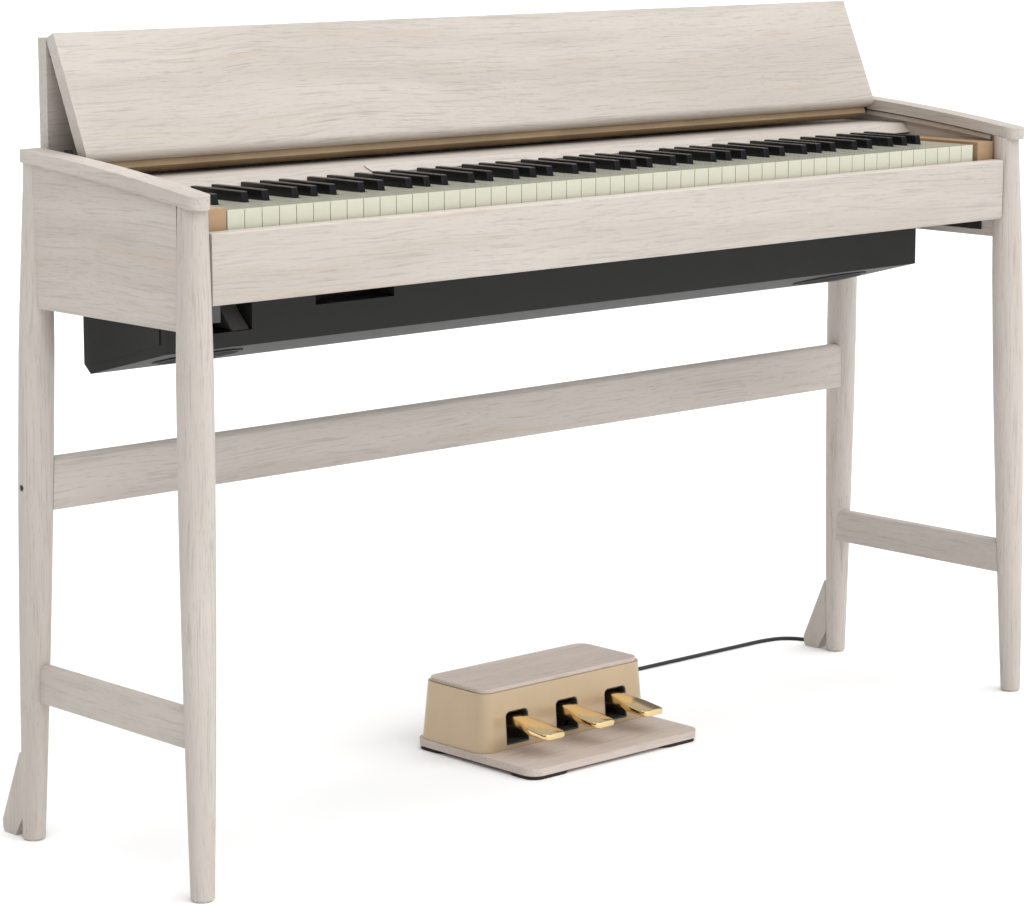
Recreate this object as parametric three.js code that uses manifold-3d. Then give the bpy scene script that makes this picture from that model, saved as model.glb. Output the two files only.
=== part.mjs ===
// A digital piano in a wooden cabinet on four round legs, with a two-panel folding lid,
// a sprung keyboard, a speaker box under the key bed and a pedal unit that stands on the floor.
// Millimetres. X runs from the bass end to the treble end, Y runs back, Z runs up.
// While the pieces are made, Y = 0 is the plane of the white keys' front faces. The outer group
// then moves everything so that the origin is at the middle of the resting face.

import * as THREE from 'three';
import * as BufferGeometryUtils from 'three/addons/utils/BufferGeometryUtils.js';
import Module from 'manifold-3d';

const wasm = await Module();
wasm.setup();

// ---------------------------------------------------------------- clearances
const GAP = 0.3;              // between pieces that touch
const JOINT_SHADOW = 1;       // between the front rail and the legs
const LID_SIDE_GAP = 1.2;     // between the lid's ends and the rear legs

// ---------------------------------------------------------------- key bed
// Every height of the cabinet above the stretchers follows the key bed.
const BED_BOTTOM = 672;
const BED_THICKNESS = 18;
const BED_TOP = BED_BOTTOM + BED_THICKNESS;

// ---------------------------------------------------------------- keyboard
const KEY_PITCH = 23.5;
const WHITE_COUNT = 52;
const WHITE_LENGTH = 216;
const WHITE_TOP = BED_TOP + 43.2;
const WHITE_HEIGHT = 24.2;
const KEY_SLOT = 1;
const BLACK_WIDTH = 10.4;
const BLACK_SIDE_GAP = 0.95;
const BLACK_FRONT = 50;
const BLACK_FRONT_SLOPE = 7;
const BLACK_RISE = 11.3;
const BLACK_NOTCH_GAP = 1.3;
const BLACK_SHOWN_END = 146.5;
const BLACK_HIDDEN_TOP = 4.6;
const KEY_WEB = 10;
const WEB_LIFT = 0.8;
const BLACK_WEB_HEIGHT = 3.8;
const BLACK_WEB_DEPTH = 8.5;
const BLACK_DROP = 2;
const PIVOT_RIDGE = 6;
const MIDDLE_OCTAVE_FIRST = 23;
const FIRST_WHITE_IN_OCTAVE = 5;

// ---------------------------------------------------------------- cabinet
const BOARD = 18;
const SIDE_INNER = 660;
const SIDE_BOTTOM = BED_BOTTOM - 62;
const SIDE_REAR = 262;
const ARM_INNER = 652;
const ARM_OUTER = 682;
const ARM_FRONT = -34;
const ARM_REAR = 280;
const ARM_ARC_REAR = 291;
const ARM_THICKNESS = 14;
const ARM_TOP_FRONT = BED_TOP + 63;
const ARM_TOP_MIDDLE = BED_TOP + 81.6;
const ARM_TOP_REAR = BED_TOP + 94.5;
const ARM_MIDDLE_Y = 117;
const ARM_FRONT_CORNER = 14;
const ARM_TRIM = 60;
const ARM_REAR_CORNER = 6;

const LEG_RADIUS = 20;
const LEG_FOOT_RADIUS = 13;
const LEG_TAPER_HEIGHT = 450;
const LEG_TAPER_POWER = 1.55;
const LEG_NECK_RADIUS = 16;
const LEG_NECK_START = BED_BOTTOM - 112;
const LEG_NECK_END = BED_TOP + 50;
const LEG_NECK_POWER = 1.2;
const LEG_EDGE = 3;
const LEG_REACH = BED_TOP + 110;
const LEG_LEAN_X = -0.0209;
const LEG_FLOOR_X = 680.5;
const FRONT_LEG_FLOOR_Y = -29.6;
const FRONT_LEG_LEAN_Y = 0.0248;
const REAR_LEG_FLOOR_Y = 283.9;
const REAR_LEG_LEAN_Y = -0.0208;
const LEG_SIDES = 36;
const BOLT_HOLE_HEIGHT = 408;
const BOLT_HOLE_RADIUS = 4;
const BOLT_HOLE_DEPTH = 9;

const RAIL_KEY_GAP = 3;
const RAIL_BOTTOM = BED_BOTTOM - 36;
const RAIL_TOP = BED_TOP + 22.7;
const RAIL_EDGE = 3;
const BACK_BOARD_REAR = 279;
const BACK_BOARD_THICKNESS = 15;
const BACK_BOARD_BOTTOM = BED_BOTTOM - 32;
const BACK_BOARD_TOP = BED_TOP + 59.6;

const CONTROL_FRONT = 149.2;
const CONTROL_NOSE_BOTTOM = WHITE_TOP + 5.3;
const CONTROL_TOP = WHITE_TOP + 17.1;
const CONTROL_SLANT_DEPTH = 9;
const CONTROL_THICKNESS = 8.3;
const CONTROL_NOSE = 3.3;
const PANEL_HALF_LENGTH = 291;
const PANEL_THICKNESS = 1;
const PANEL_SHARE = 0.8;

const CHEEK_GAPS = { left: 0, right: 8.7 };
const CHEEK_LENGTH = 148;
const CHEEK_TOP = WHITE_TOP + 2.3;

const STRETCHER_BOTTOM = 162;
const STRETCHER_HEIGHT = 43;
const STRETCHER_INNER = 663;
const STRETCHER_MIDDLE_Y = 130;
const STRETCHER_REACH = 150;
const STRETCHER_EDGE = 6;
const REAR_STRETCHER_BOTTOM = 380.5;
const REAR_STRETCHER_HEIGHT = 59.5;
const REAR_STRETCHER_FRONT = 262;

const ANTI_TIP_REAR = 334;
const ANTI_TIP_HEIGHT = 100;
const ANTI_TIP_WIDTH = 20;
const ANTI_TIP_INNER = 669;
const ANTI_TIP_TOP_DEPTH = 13;
const ANTI_TIP_HEEL = 14;
const ANTI_TIP_SOLE = 21;
const ANTI_TIP_BEVEL = 31;

// ---------------------------------------------------------------- lid
const LID_HALF_WIDTH = 646;
const LID_THICKNESS = 15;
const LID_REAR = 288;
const LID_PIVOT_HEIGHT = BED_TOP + 73;
const LID_TOP = LID_PIVOT_HEIGHT + 141;
const LID_PIVOT_RADIUS = 4;
const LID_PIVOT_LENGTH = 25;
const LID_PIVOT_INSET = 14;
const LID_BELOW_PIVOT = 10;
const LEG_CUT_REACH = 60;
const LEG_CUT_BELOW = 10;
const FOLD_ABOVE = 0.2;
const FOLD_AHEAD = 0.2;
const FRONT_PANEL_LENGTH = 147;
const FRONT_PANEL_ANGLE = 156.2;
const FRONT_PANEL_NOSE = 7.4;
const LIP_THICKNESS = 8;
const LIP_DEPTH = 21;
const LIP_BEYOND = 8;
const LIP_SEAT = 10;
const LIP_END_INSET = 6;
const KNUCKLE_RADIUS = 2.2;
const KNUCKLE_INSET = 6;
const LEAF_THICKNESS = 1;
const LEAF_HEIGHT = 22;

// ---------------------------------------------------------------- speaker box
const BOX_HALF_LENGTH = 620;
const BOX_FRONT = 101;
const BOX_REAR = 251;
const BOX_FRONT_BOTTOM = BED_BOTTOM - 103;
const BOX_REAR_BOTTOM = BED_BOTTOM - 139;
const BOX_CHAMFER = 12;
const CHAMFER_RISE = 10;
const BOX_WALL = 3;
const POCKET_DEPTH = 38;
const LEFT_POCKET = { x0: -558, x1: -500, z0: BOX_FRONT_BOTTOM + 17, z1: BOX_FRONT_BOTTOM + 63 };
const MIDDLE_POCKET = { x0: -409, x1: -293, z0: BOX_FRONT_BOTTOM + 36, z1: BOX_FRONT_BOTTOM + 81 };
const SPEAKER_X = 525;
const SPEAKER_Y = 168;
const SPEAKER_HALF_LENGTH = 58;
const SPEAKER_HALF_WIDTH = 46;
const SPEAKER_RIM = 7;
const SPEAKER_DEPTH = 42;
const MAIN_BOARD = { x0: -250, x1: -90, y0: 130, y1: 230 };
const MAIN_BOARD_THICKNESS = 2;
const STANDOFF_HEIGHT = 10;
const STANDOFF_RADIUS = 4;

// ---------------------------------------------------------------- pedal unit
const PEDAL_UNIT_X = 42.5;
const PEDAL_PITCH = 85;
const BASE_LENGTH = 291;
const BASE_FRONT = 70;
const BASE_REAR = 290;
const BASE_THICKNESS = 9.5;
const BASE_CORNER = 18;
const PAD_HEIGHT = 5;
const PAD_LENGTH = 65;
const PAD_WIDTH = 50;
const PAD_INSET = 2;
const CASING_LENGTH = 287;
const CASING_FRONT = 162;
const CASING_REAR = 287;
const CASING_TOP = 88;
const CASING_CORNER = 20;
const CASING_TAPER = 5;
const CASING_WALL = 2.5;
const TOP_THICKNESS = 4.5;
const TOP_INSET = 3.5;
const SLOT_WIDTH = 38;
const SLOT_BOTTOM = 20;
const SLOT_TOP = 62;
const SLOT_CORNERS = [1.5, 1.5, 7, 7];
const ROD_RADIUS = 4;
const ROD_Y = 262;
const ROD_Z = 50;
const PEDAL_TIP = 94;
const PEDAL_TIP_WIDTH = 36;
const PEDAL_NECK_WIDTH = 23;
const PEDAL_TIP_TOP = 46;
const PEDAL_THICKNESS = 9;
const PEDAL_EYE = 8;

// ---------------------------------------------------------------- cord
const CORD_RADIUS = 2.5;
const CORD_SIDES = 8;
const CORD_STEPS = 72;
const PLUG_X = 560;
const PLUG_Z = BED_BOTTOM - 82;
const PLUG_RADIUS = 5;
const PLUG_LENGTH = 22;

// ---------------------------------------------------------------- materials
const finish = (color, roughness, metalness = 0) =>
  new THREE.MeshStandardMaterial({ color, roughness, metalness });
const whitewashedWood = finish('#d9cfc4', 0.55);
const tanBlock = finish('#ab8f6d', 0.5);
const lipFinish = finish('#8d7555', 0.5);
const whiteKey = finish('#dfe0cb', 0.3);
const blackKey = finish('#191b1e', 0.35);
const boxBlack = finish('#2b2b29', 0.6);
const boardGreen = finish('#2e4a35', 0.6);
const darkMetal = finish('#3c3d3f', 0.4, 0.8);
const polishedGold = finish('#d6ad63', 0.15, 1);
const champagne = finish('#b39a78', 0.35, 0.4);
const rubber = finish('#151515', 0.8);

// ---------------------------------------------------------------- helpers
const piano = new THREE.Group();
const design = new THREE.Group();
piano.add(design);

function add(name, geometry, material) {
  const mesh = new THREE.Mesh(geometry, material);
  mesh.name = name;
  design.add(mesh);
  return mesh;
}

function toSolid(geometry) {
  const bare = geometry.clone();
  bare.deleteAttribute('normal');
  bare.deleteAttribute('uv');
  const merged = BufferGeometryUtils.mergeVertices(bare, 1e-4);
  const vertProperties = new Float32Array(merged.attributes.position.array);
  const triVerts = new Uint32Array(merged.index.array);
  return new wasm.Manifold(new wasm.Mesh({ numProp: 3, vertProperties, triVerts }));
}

function fromSolid(solid) {
  const { vertProperties, triVerts } = solid.getMesh();
  const geometry = new THREE.BufferGeometry();
  geometry.setAttribute('position', new THREE.BufferAttribute(new Float32Array(vertProperties), 3));
  geometry.setIndex(new THREE.BufferAttribute(new Uint32Array(triVerts), 1));
  return geometry;
}

const cut = (geometry, ...tools) =>
  fromSolid(tools.reduce((solid, tool) => solid.subtract(toSolid(tool)), toSolid(geometry)));
const join = (...geometries) =>
  fromSolid(geometries.map(toSolid).reduce((whole, solid) => whole.add(solid)));
const overlapOf = (a, b) => fromSolid(toSolid(a).intersect(toSolid(b)));

function box(x0, x1, y0, y1, z0, z1) {
  const geometry = new THREE.BoxGeometry(x1 - x0, y1 - y0, z1 - z0);
  return geometry.translate((x0 + x1) / 2, (y0 + y1) / 2, (z0 + z1) / 2);
}

// A plan outline (x, y) lifted from z0 to z1.
function lift(shape, z0, z1) {
  const geometry = new THREE.ExtrudeGeometry(shape, { depth: z1 - z0, bevelEnabled: false, curveSegments: 10 });
  return geometry.translate(0, 0, z0);
}

// A side outline (y, z) run along X from x0 to x1.
function run(shape, x0, x1) {
  const geometry = new THREE.ExtrudeGeometry(shape, { depth: x1 - x0, bevelEnabled: false, curveSegments: 6 });
  geometry.applyMatrix4(new THREE.Matrix4().makeBasis(
    new THREE.Vector3(0, 1, 0), new THREE.Vector3(0, 0, 1), new THREE.Vector3(1, 0, 0)));
  return geometry.translate(x0, 0, 0);
}

const outline = (points) => new THREE.Shape(points.map(([a, b]) => new THREE.Vector2(a, b)));

// A rectangle whose corners are rounded, in the order: low-low, high-low, high-high, low-high.
function roundedRectangle(a0, a1, b0, b1, radii) {
  const [r0, r1, r2, r3] = Array.isArray(radii) ? radii : [radii, radii, radii, radii];
  const shape = new THREE.Shape();
  shape.moveTo(a0 + r0, b0);
  shape.lineTo(a1 - r1, b0);
  if (r1) shape.absarc(a1 - r1, b0 + r1, r1, -Math.PI / 2, 0);
  shape.lineTo(a1, b1 - r2);
  if (r2) shape.absarc(a1 - r2, b1 - r2, r2, 0, Math.PI / 2);
  shape.lineTo(a0 + r3, b1);
  if (r3) shape.absarc(a0 + r3, b1 - r3, r3, Math.PI / 2, Math.PI);
  shape.lineTo(a0, b0 + r0);
  if (r0) shape.absarc(a0 + r0, b0 + r0, r0, Math.PI, Math.PI * 1.5);
  return shape;
}

function cylinderAlong(axis, radius, from, to, a, b, sides = 16) {
  const geometry = new THREE.CylinderGeometry(radius, radius, to - from, sides);
  if (axis === 'x') return geometry.rotateZ(-Math.PI / 2).translate((from + to) / 2, a, b);
  if (axis === 'y') return geometry.translate(a, (from + to) / 2, b);
  return geometry.rotateX(Math.PI / 2).translate(a, b, (from + to) / 2);
}

const sides = [['left', -1], ['right', 1]];
const span = (side, near, far) => (side > 0 ? [near, far] : [-far, -near]);

// ---------------------------------------------------------------- arm caps
// The arm's top is one long arc through three heights.
function armArc() {
  const [y0, z0] = [ARM_FRONT, ARM_TOP_FRONT];
  const [y1, z1] = [ARM_MIDDLE_Y, ARM_TOP_MIDDLE];
  const [y2, z2] = [ARM_ARC_REAR, ARM_TOP_REAR];
  const d = 2 * (y0 * (z1 - z2) + y1 * (z2 - z0) + y2 * (z0 - z1));
  const s0 = y0 * y0 + z0 * z0;
  const s1 = y1 * y1 + z1 * z1;
  const s2 = y2 * y2 + z2 * z2;
  const cy = (s0 * (z1 - z2) + s1 * (z2 - z0) + s2 * (z0 - z1)) / d;
  const cz = (s0 * (y2 - y1) + s1 * (y0 - y2) + s2 * (y1 - y0)) / d;
  return { cy, cz, radius: Math.hypot(y0 - cy, z0 - cz) };
}
const arc = armArc();
const armTopAt = (y) => arc.cz + Math.sqrt(arc.radius ** 2 - (y - arc.cy) ** 2);
const armBottomAt = (y) => armTopAt(y) - ARM_THICKNESS;

const ARM_STATIONS = 24;
function armSide(lower, upper, from = ARM_FRONT, to = ARM_REAR) {
  const stations = Array.from({ length: ARM_STATIONS + 1 }, (_, i) => from + (to - from) * i / ARM_STATIONS);
  const under = stations.map((y) => [y, lower(y)]);
  const over = stations.slice().reverse().map((y) => [y, upper(y)]);
  return outline([...under, ...over]);
}

for (const [name, side] of sides) {
  const [x0, x1] = span(side, ARM_INNER, ARM_OUTER);
  const front = ARM_FRONT_CORNER;
  const rear = ARM_REAR_CORNER;
  const plan = roundedRectangle(x0, x1, ARM_FRONT, ARM_REAR, [front, front, rear, rear]);
  const slab = run(armSide(armBottomAt, armTopAt, ARM_FRONT - 1, ARM_REAR + 1), x0, x1);
  add(`arm_${name}`, overlapOf(slab, lift(plan, ARM_TOP_FRONT - ARM_TRIM, ARM_TOP_REAR + ARM_TRIM)), whitewashedWood);
}

// Everything above the arms' undersides, lowered by the gap: it trims the legs and side panels.
const SKY = 1000;
const aboveArms = run(armSide((y) => armBottomAt(y) - GAP, () => SKY, ARM_FRONT - ARM_TRIM, ARM_REAR + ARM_TRIM),
  -ARM_OUTER - ARM_TRIM, ARM_OUTER + ARM_TRIM);

// ---------------------------------------------------------------- legs
// A leg narrows towards the foot and, less, towards the arm.
function legRadiusAt(z) {
  const foot = Math.max(0, 1 - z / LEG_TAPER_HEIGHT) ** LEG_TAPER_POWER;
  const share = (z - LEG_NECK_START) / (LEG_NECK_END - LEG_NECK_START);
  const neck = Math.min(1, Math.max(0, share)) ** LEG_NECK_POWER;
  return LEG_RADIUS - (LEG_RADIUS - LEG_FOOT_RADIUS) * foot - (LEG_RADIUS - LEG_NECK_RADIUS) * neck;
}

const NECK_STEPS = 5;
const neckStations = Array.from({ length: NECK_STEPS + 1 },
  (_, i) => LEG_NECK_START + (LEG_NECK_END - LEG_NECK_START) * i / NECK_STEPS);
const LEG_STATIONS = [LEG_EDGE, 50, 100, 150, 200, 260, 320, 385, LEG_TAPER_HEIGHT, ...neckStations, LEG_REACH];

// grow widens the leg, for cutting a neighbour clear of it.
function legBody(side, floorY, leanY, grow = 0) {
  const wall = LEG_STATIONS.map((z) => new THREE.Vector2(legRadiusAt(z) + grow, z));
  const foot = new THREE.Vector2(LEG_FOOT_RADIUS - LEG_EDGE * 0.8 + grow, 0);
  const profile = [new THREE.Vector2(0, 0), foot, ...wall, new THREE.Vector2(0, LEG_STATIONS.at(-1))];
  const geometry = new THREE.LatheGeometry(profile, LEG_SIDES).rotateX(Math.PI / 2);
  const lean = new THREE.Matrix4().set(
    1, 0, side * LEG_LEAN_X, side * LEG_FLOOR_X,
    0, 1, leanY, floorY,
    0, 0, 1, 0,
    0, 0, 0, 1);
  return geometry.applyMatrix4(lean);
}
const frontLeg = (side, grow) => legBody(side, FRONT_LEG_FLOOR_Y, FRONT_LEG_LEAN_Y, grow);
const rearLeg = (side, grow) => legBody(side, REAR_LEG_FLOOR_Y, REAR_LEG_LEAN_Y, grow);
const grownLegs = sides.flatMap(([, side]) => [frontLeg(side, GAP), rearLeg(side, GAP)]);
const clearOfLegs = (geometry) => cut(geometry, ...grownLegs);

const lidPivotY = LID_REAR - LID_THICKNESS / 2;
function lidPivot(side, grow) {
  const inner = LID_HALF_WIDTH - LID_PIVOT_INSET - grow;
  const outer = inner + LID_PIVOT_LENGTH + 2 * grow;
  const [x0, x1] = span(side, inner, outer);
  return cylinderAlong('x', LID_PIVOT_RADIUS + grow, x0, x1, lidPivotY, LID_PIVOT_HEIGHT);
}

for (const [name, side] of sides) {
  add(`leg_front_${name}`, cut(frontLeg(side), aboveArms), whitewashedWood);

  const lidFlat = LID_HALF_WIDTH + LID_SIDE_GAP;
  const [x0, x1] = span(side, 0, lidFlat);
  const besideLid = box(x0, x1, LID_REAR - LEG_CUT_REACH, LID_REAR + LEG_CUT_REACH,
    LID_PIVOT_HEIGHT - LID_BELOW_PIVOT - LEG_CUT_BELOW, SKY);
  const holeX = side * (LEG_FLOOR_X + LEG_LEAN_X * BOLT_HOLE_HEIGHT + legRadiusAt(BOLT_HOLE_HEIGHT));
  const holeY = REAR_LEG_FLOOR_Y + REAR_LEG_LEAN_Y * BOLT_HOLE_HEIGHT;
  const boltHole = cylinderAlong('x', BOLT_HOLE_RADIUS, holeX - BOLT_HOLE_DEPTH, holeX + BOLT_HOLE_DEPTH,
    holeY, BOLT_HOLE_HEIGHT);
  const leg = cut(rearLeg(side), aboveArms, besideLid, boltHole, lidPivot(side, GAP));
  add(`leg_rear_${name}`, leg, whitewashedWood);
  add(`lid_pivot_${name}`, lidPivot(side, 0), darkMetal);
}

// ---------------------------------------------------------------- side panels and stretchers
for (const [name, side] of sides) {
  const [x0, x1] = span(side, SIDE_INNER, SIDE_INNER + BOARD);
  const panel = box(x0, x1, 0, SIDE_REAR, SIDE_BOTTOM, SKY);
  add(`side_panel_${name}`, cut(panel, aboveArms, ...grownLegs), whitewashedWood);

  const [s0, s1] = span(side, STRETCHER_INNER, STRETCHER_INNER + BOARD);
  const top = STRETCHER_BOTTOM + STRETCHER_HEIGHT;
  const section = roundedRectangle(s0, s1, STRETCHER_BOTTOM, top, [1, 1, STRETCHER_EDGE, STRETCHER_EDGE]);
  const bar = new THREE.ExtrudeGeometry(section, { depth: 2 * STRETCHER_REACH, bevelEnabled: false, curveSegments: 6 });
  bar.rotateX(Math.PI / 2).translate(0, STRETCHER_MIDDLE_Y + STRETCHER_REACH, 0);
  add(`side_stretcher_${name}`, clearOfLegs(bar), whitewashedWood);
}

const rearStretcherTop = REAR_STRETCHER_BOTTOM + REAR_STRETCHER_HEIGHT;
const rearStretcherSide = roundedRectangle(REAR_STRETCHER_FRONT, REAR_STRETCHER_FRONT + BOARD,
  REAR_STRETCHER_BOTTOM, rearStretcherTop, [1, 1, STRETCHER_EDGE, STRETCHER_EDGE]);
const legXAt = (z) => LEG_FLOOR_X + LEG_LEAN_X * z;
const rearStretcherReach = legXAt(rearStretcherTop) - 4;
add('rear_stretcher', clearOfLegs(run(rearStretcherSide, -rearStretcherReach, rearStretcherReach)),
  whitewashedWood);

// ---------------------------------------------------------------- anti-tip feet
const heelY = REAR_LEG_FLOOR_Y;
const antiTipTopY = heelY + ANTI_TIP_TOP_DEPTH;
const antiTipSide = outline([
  [heelY, ANTI_TIP_HEIGHT], [heelY, ANTI_TIP_BEVEL], [ANTI_TIP_REAR - 44, ANTI_TIP_BEVEL],
  [ANTI_TIP_REAR - 4 - ANTI_TIP_SOLE, 0], [ANTI_TIP_REAR - 4, 0], [ANTI_TIP_REAR - 1, 4],
  [ANTI_TIP_REAR, ANTI_TIP_HEEL], [antiTipTopY, ANTI_TIP_HEIGHT]]);
for (const [name, side] of sides) {
  const [x0, x1] = span(side, ANTI_TIP_INNER, ANTI_TIP_INNER + ANTI_TIP_WIDTH);
  add(`anti_tip_foot_${name}`, clearOfLegs(run(antiTipSide, x0, x1)), whitewashedWood);
}

// ---------------------------------------------------------------- rail, key bed, back board
const railRear = -RAIL_KEY_GAP;
const railSide = roundedRectangle(railRear - BOARD, railRear, RAIL_BOTTOM, RAIL_TOP,
  [RAIL_EDGE, RAIL_EDGE, RAIL_EDGE, RAIL_EDGE]);
const legInnerAt = (z) => legXAt(z) - legRadiusAt(z);
const railHalfLength = Math.min(legInnerAt(RAIL_BOTTOM), legInnerAt(RAIL_TOP)) - JOINT_SHADOW;
add('front_rail', run(railSide, -railHalfLength, railHalfLength), whitewashedWood);

const bedHalfLength = SIDE_INNER - GAP;
const backBoardFront = BACK_BOARD_REAR - BACK_BOARD_THICKNESS;
add('key_bed', clearOfLegs(box(-bedHalfLength, bedHalfLength, railRear + GAP, backBoardFront - GAP,
  BED_BOTTOM, BED_TOP)), whitewashedWood);
add('back_board', clearOfLegs(box(-railHalfLength, railHalfLength, backBoardFront, BACK_BOARD_REAR,
  BACK_BOARD_BOTTOM, BACK_BOARD_TOP)), whitewashedWood);

// ---------------------------------------------------------------- control board and touch panel
const controlRear = backBoardFront - 2 * GAP;
const fascia = {
  low: [CONTROL_FRONT, CONTROL_NOSE_BOTTOM],
  high: [CONTROL_FRONT + CONTROL_SLANT_DEPTH, CONTROL_TOP],
};
const controlUnder = CONTROL_TOP - CONTROL_THICKNESS;
const controlSide = outline([
  fascia.low, [CONTROL_FRONT + CONTROL_NOSE, CONTROL_NOSE_BOTTOM],
  [CONTROL_FRONT + 2 * CONTROL_NOSE, controlUnder], [controlRear, controlUnder],
  [controlRear, CONTROL_TOP], fascia.high]);
add('control_board', clearOfLegs(run(controlSide, -bedHalfLength, bedHalfLength)), whitewashedWood);

const fasciaRise = CONTROL_TOP - CONTROL_NOSE_BOTTOM;
const fasciaLength = Math.hypot(CONTROL_SLANT_DEPTH, fasciaRise);
const fasciaNormal = [-fasciaRise / fasciaLength, CONTROL_SLANT_DEPTH / fasciaLength];
function onFascia(share, out) {
  const y = CONTROL_FRONT + CONTROL_SLANT_DEPTH * share + fasciaNormal[0] * out;
  const z = CONTROL_NOSE_BOTTOM + fasciaRise * share + fasciaNormal[1] * out;
  return [y, z];
}
const touchPanelSide = outline([
  onFascia(1 - PANEL_SHARE, GAP), onFascia(1, GAP),
  onFascia(1, GAP + PANEL_THICKNESS), onFascia(1 - PANEL_SHARE, GAP + PANEL_THICKNESS)]);
add('touch_panel', run(touchPanelSide, -PANEL_HALF_LENGTH, PANEL_HALF_LENGTH), whitewashedWood);

// ---------------------------------------------------------------- cheek blocks
const keyboardHalf = KEY_PITCH * WHITE_COUNT / 2;
for (const [name, side] of sides) {
  const [x0, x1] = span(side, keyboardHalf + CHEEK_GAPS[name] + 1, SIDE_INNER - 2 * GAP);
  add(`cheek_block_${name}`, clearOfLegs(box(x0, x1, 0, CHEEK_LENGTH, BED_TOP + GAP, CHEEK_TOP)), tanBlock);
}

// ---------------------------------------------------------------- key frame
const whiteBottom = WHITE_TOP - WHITE_HEIGHT;
const whiteRidgeY = WHITE_LENGTH - PIVOT_RIDGE / 2;
const blackRear = WHITE_LENGTH - KEY_WEB - 1.5;
const blackRidgeY = blackRear - PIVOT_RIDGE / 2;
const blackBottom = whiteBottom - BLACK_DROP;
const frameFloor = BED_TOP + GAP;
const frameSide = outline([
  [8, frameFloor], [whiteRidgeY + 6, frameFloor],
  [whiteRidgeY + PIVOT_RIDGE / 2, whiteBottom - GAP], [whiteRidgeY - PIVOT_RIDGE / 2, whiteBottom - GAP],
  [whiteRidgeY - PIVOT_RIDGE / 2 - 1.5, frameFloor + 4], [blackRidgeY + PIVOT_RIDGE / 2 + 1, frameFloor + 4],
  [blackRidgeY + PIVOT_RIDGE / 2, blackBottom - GAP], [blackRidgeY - PIVOT_RIDGE / 2, blackBottom - GAP],
  [blackRidgeY - PIVOT_RIDGE / 2 - 3, frameFloor + 3], [36, frameFloor + 3],
  [34, frameFloor + 8], [12, frameFloor + 8]]);
add('key_frame', run(frameSide, -keyboardHalf, keyboardHalf), darkMetal);

// ---------------------------------------------------------------- keys
const whiteLeft = (i) => -keyboardHalf + i * KEY_PITCH;
const octaveStep = (i) => (i + FIRST_WHITE_IN_OCTAVE) % 7;
const blackAfter = (i) => i >= 0 && i < WHITE_COUNT - 1 && ![2, 6].includes(octaveStep(i));
// Blacks sit a little off the line between two whites, as in every octave.
const BLACK_OFFSETS = { 0: -2.6, 1: 2.6, 3: -3.4, 4: 0, 5: 3.4 };
const blackCentre = (i) => whiteLeft(i + 1) + BLACK_OFFSETS[octaveStep(i)];
const notchHalf = BLACK_WIDTH / 2 + BLACK_SIDE_GAP;
const notchFront = BLACK_FRONT - BLACK_NOTCH_GAP;

// The plan of a run of white keys, from the first to the last: slots and notches between the
// keys, and a web across their rear ends when there is more than one key.
function whitePlan(first, last) {
  const points = [];
  const rearOfSlots = WHITE_LENGTH - KEY_WEB;
  for (let i = first; i <= last; i += 1) {
    const left = whiteLeft(i) + KEY_SLOT / 2;
    const right = whiteLeft(i + 1) - KEY_SLOT / 2;
    const notchLeft = blackAfter(i - 1) ? blackCentre(i - 1) + notchHalf : left;
    const notchRight = blackAfter(i) ? blackCentre(i) - notchHalf : right;
    const rearLeft = i === first ? WHITE_LENGTH : rearOfSlots;
    const rearRight = i === last ? WHITE_LENGTH : rearOfSlots;
    points.push([notchLeft, rearLeft]);
    if (notchLeft !== left) points.push([notchLeft, notchFront], [left, notchFront]);
    points.push([left, 0], [right, 0]);
    if (notchRight !== right) points.push([right, notchFront], [notchRight, notchFront]);
    points.push([notchRight, rearRight]);
  }
  return outline(points);
}

// A black key seen from the side: sloped front, flat top, lower behind the control board's edge.
const blackTop = WHITE_TOP + BLACK_RISE;
const hiddenTop = WHITE_TOP + BLACK_HIDDEN_TOP;
const blackSide = outline([
  [BLACK_FRONT, blackBottom], [blackRear, blackBottom], [blackRear, hiddenTop],
  [BLACK_SHOWN_END, hiddenTop], [BLACK_SHOWN_END, blackTop],
  [BLACK_FRONT + BLACK_FRONT_SLOPE, blackTop]]);
const blackKeyBody = (i) => run(blackSide, blackCentre(i) - BLACK_WIDTH / 2, blackCentre(i) + BLACK_WIDTH / 2);

function blackRun(indices) {
  const x0 = blackCentre(indices[0]) - BLACK_WIDTH / 2;
  const x1 = blackCentre(indices.at(-1)) + BLACK_WIDTH / 2;
  const webBottom = WHITE_TOP + WEB_LIFT;
  const web = box(x0, x1, blackRear - BLACK_WEB_DEPTH, blackRear, webBottom, webBottom + BLACK_WEB_HEIGHT);
  return join(...indices.map(blackKeyBody), web);
}

const whiteKeys = (first, last) => lift(whitePlan(first, last), whiteBottom, WHITE_TOP);
const middleLast = MIDDLE_OCTAVE_FIRST + 6;
add('white_keys_bass', whiteKeys(0, MIDDLE_OCTAVE_FIRST - 1), whiteKey);
add('white_keys_treble', whiteKeys(middleLast + 1, WHITE_COUNT - 1), whiteKey);

const allBlacks = Array.from({ length: WHITE_COUNT }, (_, i) => i).filter(blackAfter);
add('black_keys_bass', blackRun(allBlacks.filter((i) => i < MIDDLE_OCTAVE_FIRST)), blackKey);
add('black_keys_treble', blackRun(allBlacks.filter((i) => i > middleLast)), blackKey);

const NOTES = ['c', 'd', 'e', 'f', 'g', 'a', 'b'];
NOTES.forEach((note, step) => {
  const i = MIDDLE_OCTAVE_FIRST + step;
  add(`white_key_${note}`, whiteKeys(i, i), whiteKey);
  if (blackAfter(i)) add(`black_key_${note}_sharp`, blackKeyBody(i), blackKey);
});

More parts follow.
